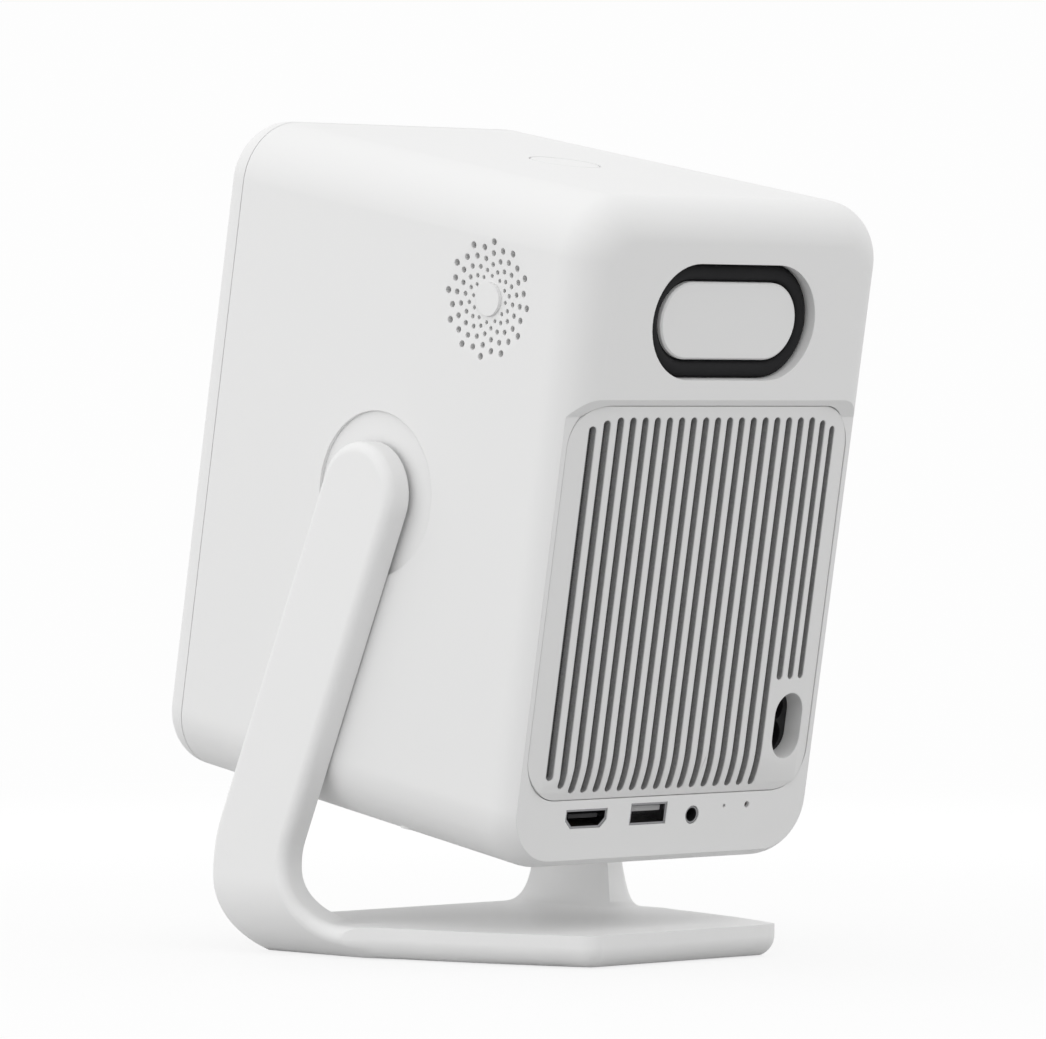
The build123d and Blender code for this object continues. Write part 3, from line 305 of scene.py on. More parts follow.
# powder coat over cast metal: a faint orange peel and fine grain
def powderCoat(name, colour, rough):
    material, graph = newFinish(name)
    settings = paintSettings
    where = graph.place()
    cloud = graph.noise(where, settings["cloud"], 3)
    peel = graph.noise(where, settings["peel"], 1)
    grain = graph.noise(where, settings["grain"], 2, settings["grainRough"])
    share = cloud * settings["cloudShare"] + grain * (1 - settings["cloudShare"])
    base = graph.mix(share, scaled(colour, settings["darker"]), colour)
    height = peel * settings["peelShare"] + grain * (1 - settings["peelShare"])
    normal = graph.bump(height, settings["peelDepth"])
    rough = rough - settings["smoother"] + cloud * settings["roughByCloud"]
    surface(graph, Base_Color=base, Roughness=rough, Normal=normal, Specular_IOR_Level=settings["sheen"])
    return material


rubberSettings = {
    "grain": 1800.0, "depth": 0.00002, "dust": 60.0, "dustShare": 0.6, "paler": 1.4, "dustLift": 0.002,
    "rough": 0.66, "roughByDust": 0.16, "sheen": 0.2,
}


# matt rubber with a faint bloom of dust
def softRubber(name, colour):
    material, graph = newFinish(name)
    settings = rubberSettings
    where = graph.place()
    dust = graph.noise(where, settings["dust"], 4)
    grain = graph.noise(where, settings["grain"], 2)
    pale = tuple(shade * settings["paler"] + settings["dustLift"] for shade in colour)
    base = graph.mix(dust * settings["dustShare"], colour, pale)
    normal = graph.bump(grain, settings["depth"])
    rough = settings["rough"] + dust * settings["roughByDust"]
    surface(graph, Base_Color=base, Roughness=rough, Normal=normal, Specular_IOR_Level=settings["sheen"])
    return material


meshSettings = {
    "pitch": 0.00062, "pale": (0.19, 0.19, 0.191), "dark": (0.04, 0.04, 0.041), "depth": 0.0002, "bump": 0.6,
    "fibre": 1400.0, "fibreRough": 0.7, "holeBelow": -0.2, "threadAbove": 0.75,
    "thread": 0.55, "threadByFibre": 0.7, "rough": 0.8, "roughByFibre": 0.15,
}


# open woven dust mesh: threads both ways, a dark hole between them
def wovenMesh(name):
    material, graph = newFinish(name)
    settings = meshSettings
    leaning = graph.place((tilt, 0, 0))
    x, up = graph.split(leaning, "XZ")
    turn = 2 * math.pi / settings["pitch"]
    weave = (x * turn).wave().larger((up * turn).wave())
    fibre = graph.noise(leaning, settings["fibre"], 3, settings["fibreRough"])
    onThread = graph.node("ShaderNodeMapRange", {}, {
        "Value": weave, "From Min": settings["holeBelow"], "From Max": settings["threadAbove"],
    })
    share = onThread * (settings["thread"] + fibre * settings["threadByFibre"])
    base = graph.mix(share, settings["dark"], settings["pale"])
    normal = graph.bump(weave, settings["depth"], settings["bump"])
    rough = settings["rough"] + fibre * settings["roughByFibre"]
    surface(graph, Base_Color=base, Roughness=rough, Normal=normal)
    return material


grilleSettings = {
    "halfWidth": 0.053, "top": 0.0366, "bottom": -0.0714, "corner": 0.012, "inset": 0.0015,
    "crown": 0.0698, "fall": 0.0026, "sideRoll": 0.021, "bottomRoll": 0.013,
    # startDepth to fullDepth: how far below the face the painted shade on the slot walls fades in; dark and
    # pale are its colours
    "startDepth": 0.0001, "fullDepth": 0.00045,
    "inletX": -0.0427, "inletUp": -0.053, "inletWide": 0.008, "inletTall": 0.011,
    "dark": (0.2, 0.2, 0.201), "pale": (0.52, 0.52, 0.522), "paintedShadeRough": 0.3, "edgeRound": 0.0004,
}


# the drop of an arc that starts flat, after a run; after a run as long as the roll it has dropped by the fall
def arcDrop(run, roll, fall):
    arc = (roll ** 2 + fall ** 2) / (2 * fall)
    run = run.larger(0)
    return arc - (arc ** 2 - run * run).root()


# the rear panel: pale plastic on its face, painted shade (dark grey with a fibre grain) on the walls of its
# slots, darker the deeper below the face, the inlet's hole left pale
def grilleShell(name, colour, rough):
    material, graph = newFinish(name)
    size = grilleSettings
    leaning = graph.place((tilt, 0, 0))
    x, rear, up = graph.split(leaning, "XYZ")
    up = up - pivotHeight * math.cos(tilt)
    rear = rear + pivotHeight * math.sin(tilt)
    sideRun = x.size() - (size["halfWidth"] - size["sideRoll"])
    bottomRun = size["bottom"] + size["bottomRoll"] - up
    sideDrop = arcDrop(sideRun, size["sideRoll"], size["fall"])
    drop = arcDrop(bottomRun, size["bottomRoll"], size["fall"]).larger(sideDrop)
    depth = size["crown"] - drop - rear
    centre = (size["top"] + size["bottom"]) / 2
    halfHeight = (size["top"] - size["bottom"]) / 2
    pastX = (x.size() - (size["halfWidth"] - size["corner"])).larger(0)
    pastUp = ((up - centre).size() - (halfHeight - size["corner"])).larger(0)
    inside = (pastX * pastX + pastUp * pastUp).root() < size["corner"] - size["inset"]
    fromInletX = (x - size["inletX"]).size() > size["inletWide"]
    fromInletUp = (up - size["inletUp"]).size() > size["inletTall"]
    sunk = graph.node("ShaderNodeMapRange", {}, {
        "Value": depth, "From Min": size["startDepth"], "From Max": size["fullDepth"],
    })
    share = sunk * inside * fromInletX.larger(fromInletUp)
    moulded = mouldedSettings
    edge, grainDepth = size["edgeRound"], moulded["grainDepth"]
    cloud, _, shell, normal = mouldedParts(graph, leaning, colour, edge, grainDepth)
    fibre = graph.noise(leaning, meshSettings["fibre"], 3, meshSettings["fibreRough"])
    # painted shade: the slot walls below the face take a dark grey with a fibre grain in place of the shell
    # colour
    base = graph.mix(share, shell, graph.mix(fibre, size["dark"], size["pale"]))
    rough = rough + share * size["paintedShadeRough"] + cloud * moulded["roughByCloud"]
    surface(graph, Base_Color=base, Roughness=rough, Normal=normal, Specular_IOR_Level=moulded["sheen"])
    return material


metalSettings = {
    "streak": 900.0, "streakRough": 0.6, "streakShare": 0.6, "smudge": 70.0, "darker": 0.8, "depth": 0.000006,
    "smoother": 0.08, "roughByStreak": 0.16,
}


# turned or brushed metal: fine streaks along one axis
def brushedMetal(name, colour, rough, stretch):
    material, graph = newFinish(name)
    settings = metalSettings
    where = graph.stretched(graph.place((tilt, 0, 0)), stretch)
    streak = graph.noise(where, settings["streak"], 3, settings["streakRough"])
    smudge = graph.noise(graph.place(), settings["smudge"], 3)
    share = streak * settings["streakShare"] + smudge * (1 - settings["streakShare"])
    base = graph.mix(share, scaled(colour, settings["darker"]), colour)
    normal = graph.bump(streak, settings["depth"])
    rough = rough - settings["smoother"] + streak * settings["roughByStreak"]
    surface(graph, Base_Color=base, Metallic=1.0, Roughness=rough, Normal=normal)
    return material


boardSettings = {
    "track": 420.0, "trackAbove": 0.85, "padScale": 0.7, "padBelow": 0.13,
    "mask": (0.012, 0.1, 0.05), "copper": (0.03, 0.2, 0.09), "pad": (0.55, 0.5, 0.3),
    "depth": 0.00003, "bump": 0.5, "padMetal": 0.9, "rough": 0.3, "roughByTrack": 0.08,
}


# solder-masked board: raised tracks and a few bright pads
def circuitBoard(name):
    material, graph = newFinish(name)
    settings = boardSettings
    where = graph.place((tilt, 0, 0))
    cells = graph.node(
        "ShaderNodeTexVoronoi", {"distance": "MANHATTAN", "feature": "F2"},
        {"Vector": where, "Scale": settings["track"]}, "Distance",
    )
    spots = graph.node(
        "ShaderNodeTexVoronoi", {"distance": "EUCLIDEAN"},
        {"Vector": where, "Scale": settings["track"] * settings["padScale"]}, "Distance",
    )
    tracks = cells > settings["trackAbove"]
    pads = spots < settings["padBelow"]
    base = graph.mix(tracks, settings["mask"], settings["copper"])
    base = graph.mix(pads, base, settings["pad"])
    normal = graph.bump(tracks + pads, settings["depth"], settings["bump"])
    rough = settings["rough"] + tracks * settings["roughByTrack"]
    surface(graph, Base_Color=base, Metallic=pads * settings["padMetal"], Roughness=rough, Normal=normal)
    return material


glassSettings = {
    "smear": 45.0, "darker": 0.85, "rough": 0.03, "roughBySmear": 0.04, "bend": 1.5, "hazeBySmear": 0.03,
    "coat": 0.6, "coatBySmear": 0.2, "coatRough": 0.02,
}


# coated glass: mostly see-through, with a faint tint
def coatedGlass(name, colour, clear):
    material, graph = newFinish(name)
    settings = glassSettings
    smear = graph.noise(graph.place(), settings["smear"], 4)
    tint = graph.mix(smear, scaled(colour, settings["darker"]), colour)
    surface(
        graph, Base_Color=tint, Roughness=settings["rough"] + smear * settings["roughBySmear"],
        IOR=settings["bend"], Alpha=1 - clear + smear * settings["hazeBySmear"],
        Coat_Weight=settings["coat"] + smear * settings["coatBySmear"], Coat_Roughness=settings["coatRough"],
    )
    return material


filmSettings = {
    "lensUp": 0.020, "ridge": 0.0004, "darker": 0.86, "depth": 0.00008, "bump": 0.5,
    "rough": 0.12, "roughByRidge": 0.03, "cover": 0.75, "coverByRidge": 0.05,
}


# ribbed optical film: ridges in rings about the lens axis
def ribbedFilm(name, colour):
    material, graph = newFinish(name)
    settings = filmSettings
    x, up = graph.split(graph.place((tilt, 0, 0)), "XZ")
    high = up - (pivotHeight * math.cos(tilt) + settings["lensUp"])
    radius = (x * x + high * high).root()
    ridges = (radius * (2 * math.pi / settings["ridge"])).wave()
    base = graph.mix(ridges * 0.5 + 0.5, scaled(colour, settings["darker"]), colour)
    normal = graph.bump(ridges, settings["depth"], settings["bump"])
    surface(
        graph, Base_Color=base, Roughness=settings["rough"] + ridges * settings["roughByRidge"],
        Alpha=settings["cover"] + ridges * settings["coverByRidge"], Normal=normal,
    )
    return material


coneSettings = {
    "fibre": 500.0, "fibreRough": 0.7, "stretch": (1, 3, 1), "paler": 2.2, "depth": 0.00004,
    "rough": 0.75, "roughByFibre": 0.12,
}


# pressed paper cone: short fibres
def pressedPaper(name, colour):
    material, graph = newFinish(name)
    settings = coneSettings
    where = graph.stretched(graph.place(), settings["stretch"])
    fibre = graph.noise(where, settings["fibre"], 4, settings["fibreRough"])
    base = graph.mix(fibre, colour, scaled(colour, settings["paler"]))
    normal = graph.bump(fibre, settings["depth"])
    rough = settings["rough"] + fibre * settings["roughByFibre"]
    surface(graph, Base_Color=base, Roughness=rough, Normal=normal)
    return material


white = (0.83, 0.83, 0.828)
panelWhite = (0.8, 0.8, 0.797)
standWhite = (0.85, 0.85, 0.848)
black = (0.012, 0.012, 0.013)

finishes = {
    "shellWhite": mouldedPlastic("shellWhite", white, 0.5),
    "grilleWhite": grilleShell("grilleWhite", panelWhite, 0.52),
    "standWhite": powderCoat("standWhite", standWhite, 0.48),
    "buttonWhite": mouldedPlastic("buttonWhite", white, 0.46, 0.00025),
    "plateWhite": mouldedPlastic("plateWhite", white, 0.44, 0.0004),
    "surroundRubber": softRubber("surroundRubber", black),
    "padRubber": softRubber("padRubber", (0.02, 0.02, 0.021)),
    "caseBlack": mouldedPlastic("caseBlack", (0.025, 0.025, 0.026), 0.55, 0.0002, 0.00003),
    "inletBlack": mouldedPlastic("inletBlack", (0.018, 0.018, 0.019), 0.4, 0.0002, 0.00001),
    "tongueGrey": mouldedPlastic("tongueGrey", (0.42, 0.42, 0.42), 0.45, 0.0001, 0.00001),
    "contactGold": brushedMetal("contactGold", (0.83, 0.62, 0.28), 0.25, (1, 6, 1)),
    "basketGrey": mouldedPlastic("basketGrey", (0.1, 0.1, 0.102), 0.5, 0.0002, 0.00002),
    "dustMesh": wovenMesh("dustMesh"),
    "turnedSteel": brushedMetal("turnedSteel", (0.56, 0.56, 0.57), 0.28, (14, 0.6, 0.6)),
    "platedZinc": brushedMetal("platedZinc", (0.66, 0.66, 0.66), 0.34, (1, 1, 1)),
    "socketShell": brushedMetal("socketShell", (0.3, 0.3, 0.31), 0.3, (1, 6, 1)),
    "sinkAluminium": brushedMetal("sinkAluminium", (0.72, 0.73, 0.74), 0.36, (0.5, 8, 8)),
    "lampBoard": brushedMetal("lampBoard", (0.68, 0.69, 0.7), 0.4, (1, 1, 1)),
    "circuitBoard": circuitBoard("circuitBoard"),
    "windowGlass": coatedGlass("windowGlass", (0.05, 0.055, 0.075), 0.45),
    "lensGlass": coatedGlass("lensGlass", (0.62, 0.7, 0.8), 0.7),
    "receiverDark": coatedGlass("receiverDark", (0.03, 0.006, 0.01), 0.1),
    "ribbedFilm": ribbedFilm("ribbedFilm", (0.75, 0.77, 0.8)),
    "coneBlack": pressedPaper("coneBlack", (0.025, 0.025, 0.025)),
}

finishOfNode = {
    "stand_yoke": "standWhite", "base_weight": "turnedSteel", "weight_screws": "platedZinc",
    "base_pad": "padRubber", "pin_screws": "platedZinc", "friction_washers": "turnedSteel",
    "pin_nuts": "platedZinc", "pivot_pin_left": "turnedSteel", "pivot_pin_right": "turnedSteel",
    "main_housing": "shellWhite", "front_cover": "shellWhite", "cover_screws": "platedZinc",
    "lens_window": "windowGlass", "receiver_window": "receiverDark", "rear_grille": "grilleWhite",
    "dust_filter": "dustMesh", "radiator_surround": "surroundRubber", "radiator_plate": "plateWhite",
    "speaker_box": "caseBlack", "button_board": "circuitBoard", "power_button": "buttonWhite",
    "engine_box": "caseBlack", "engine_screws": "platedZinc", "front_field_lens": "ribbedFilm",
    "lcd_panel": "lensGlass", "rear_field_lens": "ribbedFilm", "condenser_lens": "lensGlass",
    "led_board": "lampBoard", "guide_rod": "turnedSteel", "focus_motor": "platedZinc",
    "focus_screw": "turnedSteel", "lens_barrel": "caseBlack", "lens_elements": "lensGlass",
    "heat_sink": "sinkAluminium", "fan_frame": "caseBlack", "fan_rotor": "caseBlack",
    "main_board": "circuitBoard", "power_board": "circuitBoard", "board_screws": "platedZinc",
    "video_socket": "socketShell", "data_socket": "socketShell", "audio_jack": "inletBlack",
    "power_inlet": "inletBlack", "hinge_sleeve_left": "turnedSteel", "hinge_sleeve_right": "turnedSteel",
    "speaker_frame_left": "basketGrey", "speaker_frame_right": "basketGrey",
    "speaker_surround_left": "surroundRubber", "speaker_surround_right": "surroundRubber",
    "speaker_cone_left": "coneBlack", "speaker_cone_right": "coneBlack",
}


def dressNodes():
    for name, finish in finishOfNode.items():
        data = nodes[name].data
        data.materials.clear()
        data.materials.append(finishes[finish])
        for face in data.polygons:
            face.material_index = 0
    print("finishes:", len(finishes), "on", len(finishOfNode), "nodes")


class Tree(Graph):
    def __init__(self, name, inputs):
        tree = bpy.data.node_groups.new(name, "GeometryNodeTree")
        super().__init__(tree)
        tree.interface.new_socket(name="Geometry", in_out="INPUT", socket_type="NodeSocketGeometry")
        self.sockets = {}
        for key, (kind, value) in inputs.items():
            made = tree.interface.new_socket(name=key, in_out="INPUT", socket_type=kind)
            if value is not None:
                made.default_value = value
            self.sockets[key] = made.identifier
        tree.interface.new_socket(name="Geometry", in_out="OUTPUT", socket_type="NodeSocketGeometry")
        self.entry = tree.nodes.new("NodeGroupInput")
        self.exit = tree.nodes.new("NodeGroupOutput")

    def given(self, name):
        return Value(self, self.entry.outputs[name])

    def finish(self, value):
        self.tree.links.new(value.socket, self.exit.inputs[0])
        return self

    # joins what the tree grew to the mesh it was given: real geometry in one material
    def withSheet(self, grown):
        joined = self.tree.nodes.new("GeometryNodeJoinGeometry")
        for part in (grown, self.given("Geometry")):
            self.tree.links.new(part.socket, joined.inputs[0])
        both = Value(self, joined.outputs[0])
        real = self.node("GeometryNodeRealizeInstances", {}, {"Geometry": both})
        return self.node("GeometryNodeSetMaterial", {}, {
            "Geometry": real, "Material": self.given("Material"),
        })


smoothing = {"sharpAngle": 32.0, "weld": 0.000001, "normalWeight": 50}


# welds a loose mesh and shades it smooth, apart from edges sharper than the limit
def smoothShellTree():
    tree = Tree("smoothShell", {
        "Sharp Angle": ("NodeSocketFloat", math.radians(smoothing["sharpAngle"])),
        "Weld Distance": ("NodeSocketFloat", smoothing["weld"]),
    })
    mesh = tree.node("GeometryNodeMergeByDistance", {}, {
        "Geometry": tree.given("Geometry"), "Distance": tree.given("Weld Distance"),
    })
    mesh = tree.node("GeometryNodeSetShadeSmooth", {"domain": "FACE"}, {
        "Geometry": mesh, "Shade Smooth": True,
    })
    angle = tree.node("GeometryNodeInputMeshEdgeAngle", {}, {}, "Unsigned Angle")
    sharp = tree.node("FunctionNodeCompare", {"operation": "GREATER_THAN"}, {
        "A": angle, "B": tree.given("Sharp Angle"),
    })
    mesh = tree.node("GeometryNodeSetShadeSmooth", {"domain": "EDGE"}, {
        "Geometry": mesh, "Selection": sharp, "Shade Smooth": False,
    })
    return tree.finish(mesh)


def smoothNodes():
    tree = smoothShellTree()
    for node in nodes.values():
        smooth = node.modifiers.new("smoothShell", "NODES")
        smooth.node_group = tree.tree
        evened = node.modifiers.new("evenNormals", "WEIGHTED_NORMAL")
        evened.keep_sharp = True
        evened.weight = smoothing["normalWeight"]
    print("smoothed:", len(nodes), "nodes")


weldDistance = 0.0000005


# a mesh with its doubled points welded and its faces pointing outwards
def meshFrom(name, points, faces):
    data = bpy.data.meshes.new(name)
    data.from_pydata([tuple(point) for point in points], [], faces)
    shape = bmesh.new()
    shape.from_mesh(data)
    bmesh.ops.remove_doubles(shape, verts=shape.verts, dist=weldDistance)
    bmesh.ops.recalc_face_normals(shape, faces=shape.faces)
    shape.to_mesh(data)
    shape.free()
    return data


# a closed band: the section's (out, depth) points carried round a closed path of (point, outward) pairs
def sweptBand(name, path, section, place):
    points = []
    faces = []
    count = len(section)
    for (x, y), (outX, outY) in path:
        for out, depth in section:
            points.append(place(x + outX * out, y + outY * out, depth))
    for step in range(len(path)):
        following = (step + 1) % len(path)
        for index in range(count):
            beside = (index + 1) % count
            faces.append((
                step * count + index, step * count + beside,
                following * count + beside, following * count + index,
            ))
    return meshFrom(name, points, faces)


# a closed roll section: flat lips either side of a round-topped ridge, with a wall's thickness below
def rollSection(settings):
    top = []
    steps = settings["steps"]
    lip = settings["lip"]
    width = settings["width"]
    ridge = width - 2 * lip
    for step in range(steps + 1):
        turn = math.pi * step / steps
        out = lip + ridge / 2 * (1 - math.cos(turn))
        top.append((out, settings["base"] + settings["rise"] * math.sin(turn)))
    top = [(0, settings["base"])] + top + [(width, settings["base"])]
    wall = settings["wall"]
    return top + [(out, depth - wall) for out, depth in reversed(top)]


def stadiumPath(length, width, steps):
    radius = width / 2
    straight = length / 2 - radius
    path = []
    for end in (1, -1):
        for step in range(steps + 1):
            turn = math.pi * (step / steps - 0.5)
            outX, outY = end * math.cos(turn), end * math.sin(turn)
            path.append(((end * straight + outX * radius, outY * radius), (outX, outY)))
    return path


def roundPath(radius, steps):
    path = []
    for step in range(steps):
        turn = 2 * math.pi * step / steps
        outX, outY = math.cos(turn), math.sin(turn)
        path.append(((radius * outX, radius * outY), (outX, outY)))
    return path


# a finished mesh as a piece that rides on a body, in place of the nodes it replaces
def addPiece(name, data, finish, body, *replaced):
    piece = linkObject(name, data)
    data.materials.clear()
    data.materials.append(finishes[finish])
    for face in data.polygons:
        face.use_smooth = True
    if replaced:
        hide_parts(*replaced)
    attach(piece, body)
    print("piece:", name, len(data.polygons), "faces")


radiatorRoll = {
    "innerLength": 51.1, "innerWidth": 21.2, "height": 59.8, "base": 67.45, "rise": 1.5,
    "width": 5.0, "lip": 0.5, "wall": 1.1, "steps": 20, "pathSteps": 40,
}


def addRadiatorRoll(settings):
    path = stadiumPath(settings["innerLength"], settings["innerWidth"], settings["pathSteps"])

    def place(x, up, depth):
        return bodyPoint(x, depth, up + settings["height"])

    data = sweptBand("radiatorRoll", path, rollSection(settings), place)
    addPiece("radiatorRoll", data, "surroundRubber", "projector", "radiator_surround")


speakerRoll = {
    "radius": 13.46, "rear": 34.8, "height": 59.5, "face": 49.2, "base": 0.45, "rise": 0.35,
    "width": 2.08, "lip": 0.25, "wall": 0.4, "steps": 12, "pathSteps": 72,
}


def addSpeakerRolls(settings):
    for name in ("Left", "Right"):
        node = "speaker_surround_" + name.lower()
        sign = 1 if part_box(node)[0][0] > 0 else -1

        def place(rear, up, depth, sign=sign):
            x = sign * (settings["face"] + depth)
            return bodyPoint(x, rear + settings["rear"], up + settings["height"])

        path = roundPath(settings["radius"], settings["pathSteps"])
        data = sweptBand("speakerRoll" + name, path, rollSection(settings), place)
        addPiece("speakerRoll" + name, data, "surroundRubber", "projector", node)


# the same change of frame for a whole mesh that is already in metres
def bodyMatrix():
    return Matrix.Translation((0, 0, pivotHeight)) @ Matrix.Rotation(-tilt, 4, "X")


# the evaluated geometry as a plain mesh, with the tree's inputs set by their identifiers
def grownMesh(name, tree, base, settings):
    source = linkObject(name + "Source", base)
    grower = source.modifiers.new(name, "NODES")
    grower.node_group = tree.tree
    for key, value in settings.items():
        grower[tree.sockets[key]] = value
    seen = source.evaluated_get(bpy.context.evaluated_depsgraph_get())
    data = bpy.data.meshes.new_from_object(seen)
    data.name = name
    bpy.data.objects.remove(source)
    return data


# low round-topped studs on a grid, kept inside the sole's outline, joined to the flat sheet they stand on
def studTree(finish):
    tree = Tree("gripStuds", {
        "Length": ("NodeSocketFloat", 0.1),
        "Width": ("NodeSocketFloat", 0.08),
        "Pitch": ("NodeSocketFloat", 0.004),
        "Middle": ("NodeSocketFloat", 0.0),
        "Radius": ("NodeSocketFloat", 0.0012),
        "Height": ("NodeSocketFloat", 0.0004),
        "Front Half": ("NodeSocketFloat", 0.05),
        "Taper": ("NodeSocketFloat", 0.2),
        "Material": ("NodeSocketMaterial", finish),
    })
    pitch = tree.given("Pitch")
    grid = tree.node("GeometryNodeMeshGrid", {}, {
        "Size X": tree.given("Width"), "Size Y": tree.given("Length"),
        "Vertices X": (tree.given("Width") / pitch).rounded(),
        "Vertices Y": (tree.given("Length") / pitch).rounded(),
    })
    x, y = tree.split(tree.node("GeometryNodeInputPosition"), "XY")
    limit = tree.given("Front Half") - tree.given("Taper") * (y + tree.given("Length") * 0.5)
    points = tree.node("GeometryNodeDeleteGeometry", {"domain": "POINT"}, {
        "Geometry": grid, "Selection": x.size() > limit,
    })
    stud = tree.node("GeometryNodeMeshCone", {"fill_type": "NGON"}, {
        "Vertices": gripPad["studSides"], "Radius Top": tree.given("Radius") * gripPad["studTaper"],
        "Radius Bottom": tree.given("Radius"), "Depth": tree.given("Height"),
    })
    stud = tree.node("GeometryNodeTransform", {}, {"Geometry": stud, "Rotation": (math.pi, 0, 0)})
    studs = tree.node("GeometryNodeInstanceOnPoints", {}, {"Points": points, "Instance": stud})
    drop = tree.node("ShaderNodeCombineXYZ", {}, {"Y": tree.given("Middle"), "Z": tree.given("Height")})
    studs = tree.node("GeometryNodeTransform", {}, {"Geometry": studs, "Translation": drop})
    return tree.finish(tree.withSheet(studs))


gripPad = {
    "thickness": 1.2, "height": 0.45, "pitch": 4.2, "radius": 1.3, "front": -43.6, "rear": 57.3,
    "frontHalf": 41.7, "rearHalf": 30.2, "cornerHalf": 32.1, "waist": 15.0, "inset": 3.0,
    "corner": 4.8, "cornerSteps": 8, "studSides": 12, "studTaper": 0.7, "overlap": 1.0,
}


# rubber sheet under the foot, in the outline of the plate's sole, with studs below
def addGripPad(settings):
    half, rearHalf, cornerHalf = settings["frontHalf"], settings["rearHalf"], settings["cornerHalf"]
    front, rear = settings["front"], settings["rear"]
    corner, steps = settings["corner"], settings["cornerSteps"]
    outline = [(half, front), (half, settings["waist"]), (cornerHalf, rear - corner)]
    for step in range(1, steps + 1):
        turn = math.pi / 2 * step / steps
        inward, back = 1 - math.cos(turn), 1 - math.sin(turn)
        outline.append((cornerHalf - corner * inward, rear - corner * back))
    outline += [(-x, y) for x, y in reversed(outline)]
    low, high = settings["height"], settings["thickness"]
    count = len(outline)
    points = [(x / 1000, y / 1000, low / 1000) for x, y in outline]
    points += [(x / 1000, y / 1000, high / 1000) for x, y in outline]
    faces = [tuple(range(count)), tuple(range(count, 2 * count))]
    for step in range(count):
        following = (step + 1) % count
        faces.append((step, following, following + count, step + count))
    sheet = meshFrom("gripSheet", points, faces)
    inset = settings["inset"]
    length = rear - front - 2 * inset
    sizes = {
        "Length": length / 1000, "Width": 2 * (half - inset) / 1000, "Pitch": settings["pitch"] / 1000,
        "Middle": (front + rear) / 2000, "Radius": settings["radius"] / 1000, "Height": low / 1000,
        "Front Half": (half + settings["overlap"]) / 1000, "Taper": (half - rearHalf + inset) / length,
    }
    data = grownMesh("gripPad", studTree(finishes["padRubber"]), sheet, sizes)
    addPiece("gripPad", data, "padRubber", "stand", "base_pad")


contactSize = {"length": 7.0, "thickness": 0.12, "fromEnd": 4.6, "stations": 6}


# a row of thin sprung contacts, each arched along its length
def contactTree(finish):
    tree = Tree("contactRow", {
        "Count": ("NodeSocketInt", 4),
        "Pitch": ("NodeSocketFloat", 0.002),
        "Width": ("NodeSocketFloat", 0.001),
        "Length": ("NodeSocketFloat", 0.008),
        "Thickness": ("NodeSocketFloat", 0.0002),
        "Material": ("NodeSocketMaterial", finish),
    })
    step = tree.node("ShaderNodeCombineXYZ", {}, {"X": tree.given("Pitch")})
    line = tree.node("GeometryNodeMeshLine", {"mode": "OFFSET"}, {
        "Count": tree.given("Count"), "Offset": step,
    })
    size = tree.node("ShaderNodeCombineXYZ", {}, {
        "X": tree.given("Width"), "Y": tree.given("Length"), "Z": tree.given("Thickness"),
    })
    strip = tree.node("GeometryNodeMeshCube", {}, {"Size": size, "Vertices Y": contactSize["stations"]})
    (y,) = tree.split(tree.node("GeometryNodeInputPosition"), "Y")
    rise = (y / tree.given("Length") * math.pi + math.pi / 2).wave()
    lift = tree.node("ShaderNodeCombineXYZ", {}, {"Z": rise * tree.given("Thickness")})
    strip = tree.node("GeometryNodeSetPosition", {}, {"Geometry": strip, "Offset": lift})
    strips = tree.node("GeometryNodeInstanceOnPoints", {}, {"Points": line, "Instance": strip})
    centre = tree.node("ShaderNodeCombineXYZ", {}, {
        "X": (tree.given("Count") - 1) * tree.given("Pitch") * -0.5,
    })
    strips = tree.node("GeometryNodeTransform", {}, {"Geometry": strips, "Translation": centre})
    return tree.finish(tree.withSheet(strips))


tongueRound = {"share": 1 / 6, "segments": 3}
sockets = {
    "dataTongue": {
        "x": 5.3, "half": 5.56, "start": 54.4, "end": 65.95, "low": -75.86, "high": -74.24,
        "count": 4, "pitch": 2.4, "contact": 1.1, "finish": "tongueGrey",
    },
    "videoTongue": {
        "x": 28.7, "half": 5.41, "start": 54.4, "end": 65.95, "low": -76.86, "high": -75.74,
        "count": 9, "pitch": 1.1, "contact": 0.5, "finish": "caseBlack",
    },
}


# a tongue in each socket's mouth with a row of contacts under it
def addSocketTongues():
    for name, size in sockets.items():
        shape = bmesh.new()
        bmesh.ops.create_cube(shape, size=1)
        deep = size["end"] - size["start"]
        tall = size["high"] - size["low"]
        middle = Vector((size["x"], size["start"] + deep / 2, size["low"] + tall / 2)) / 1000
        bmesh.ops.scale(shape, vec=(2 * size["half"] / 1000, deep / 1000, tall / 1000), verts=shape.verts)
        bmesh.ops.bevel(
            shape, geom=list(shape.edges), offset=tall * tongueRound["share"] / 1000,
            segments=tongueRound["segments"], profile=0.5, affect="EDGES",
        )
        bmesh.ops.translate(shape, vec=middle, verts=shape.verts)
        data = bpy.data.meshes.new(name)
        shape.to_mesh(data)
        shape.free()
        data.transform(bodyMatrix())
        addPiece(name, data, size["finish"], "projector")
        sizes = {
            "Count": size["count"], "Pitch": size["pitch"] / 1000, "Width": size["contact"] / 1000,
            "Length": contactSize["length"] / 1000, "Thickness": contactSize["thickness"] / 1000,
        }
        tree = contactTree(finishes["contactGold"])
        rows = grownMesh(name + "Contacts", tree, bpy.data.meshes.new("none"), sizes)
        spot = Vector((size["x"], size["end"] - contactSize["fromEnd"], size["low"])) / 1000
        rows.transform(bodyMatrix() @ Matrix.Translation(spot) @ Matrix.Rotation(math.pi, 4, "Y"))
        addPiece(name + "Contacts", rows, "contactGold", "projector")


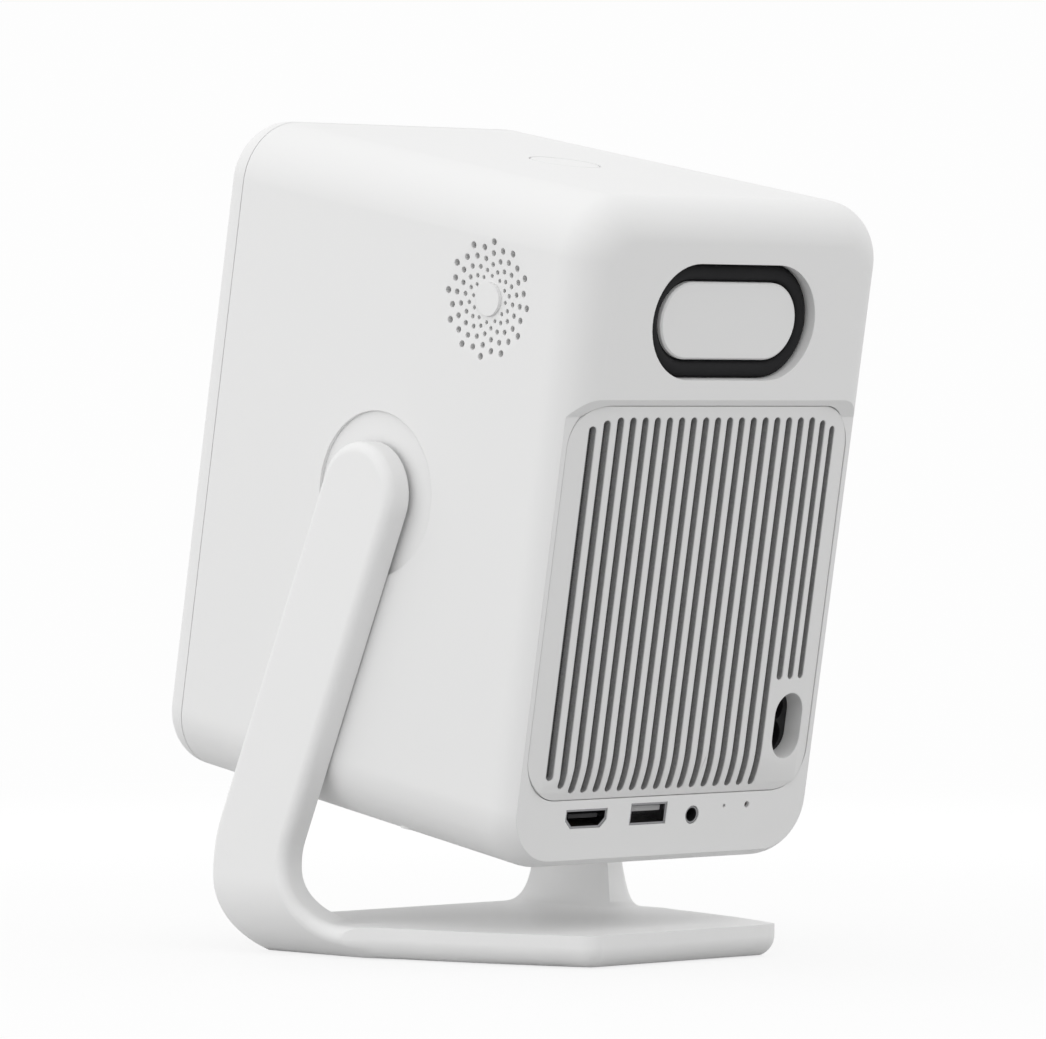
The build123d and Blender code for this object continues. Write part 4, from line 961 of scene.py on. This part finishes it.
roundSteps = 32
smallRounds = {
    "statusLens": {
        "x": -32.4, "up": -75.2, "finish": "receiverDark",
        "section": [(0, 66.75), (0.35, 66.7), (0.66, 66.5), (0.86, 66.2), (0.86, 65.2), (0, 65.2)],
    },
    "jackCollar": {
        "x": -11.5, "up": -77.3, "finish": "socketShell",
        "section": [(1.85, 66.9), (2.0, 67.15), (2.3, 67.2), (2.5, 67.05), (2.5, 65.4), (1.85, 65.4)],
    },
}


# turned pieces on the port face: each section is (radius, rear) pairs spun about its own axis
def addSmallRounds():
    for name, size in smallRounds.items():
        def place(across, up, depth, size=size):
            return bodyPoint(size["x"] + across, depth, size["up"] + up)

        data = sweptBand(name, roundPath(0, roundSteps), size["section"], place)
        addPiece(name, data, size["finish"], "projector")


# a floor that shows its shade near the object and turns plain white further out
def addFloor(settings):
    half = settings["floorSize"] / 2
    data = bpy.data.meshes.new("floor")
    corners = [(-half, -half, 0), (half, -half, 0), (half, half, 0), (-half, half, 0)]
    data.from_pydata(corners, [], [(0, 1, 2, 3)])
    floor = linkObject("floor", data)
    material, graph = newFinish("paleFloor")
    seen = graph.seenRays()
    x, y = graph.split(graph.place(), "XY")
    reach = (x * x + y * y).root()
    near = graph.node("ShaderNodeMapRange", {"interpolation_type": "SMOOTHSTEP"}, {
        "Value": reach, "From Min": settings["shadowNear"], "From Max": settings["shadowFar"],
        "To Min": settings["shadowShare"], "To Max": 0.0,
    })
    shade = settings["floorColour"]
    matt = graph.node("ShaderNodeBsdfDiffuse", {}, {"Color": (shade, shade, shade, 1)})
    white = settings["white"]
    strength = white + near * settings["nearGlow"]
    glow = graph.node("ShaderNodeEmission", {}, {"Color": (1, 1, 1, 1), "Strength": strength})
    share = seen * (1 - near)
    both = graph.node("ShaderNodeMixShader", {}, [share, matt, glow])
    showSurface(graph, both)
    data.materials.append(material)


# a white background that lights the object with its own, slightly different, fill
def addWorld(settings):
    world = bpy.data.worlds.new("studioWorld")
    bpy.context.scene.world = world
    graph = emptyGraph(world)
    seen = graph.seenRays()
    strength = settings["fill"] + seen * (settings["white"] - settings["fill"])
    back = graph.node("ShaderNodeBackground", {}, {"Color": (1, 1, 1, 1), "Strength": strength})
    showSurface(graph, back, "ShaderNodeOutputWorld")


addCamera(cameraSettings)
addWorld(stageSettings)
addFloor(stageSettings)
for lampName, lampSettings in lamps.items():
    addLamp(lampName, lampSettings)
bpy.context.scene.view_settings.view_transform = "Standard"
print("stage ready")

dressNodes()
smoothNodes()
addRadiatorRoll(radiatorRoll)
addSpeakerRolls(speakerRoll)
addGripPad(gripPad)
addSocketTongues()
addSmallRounds()
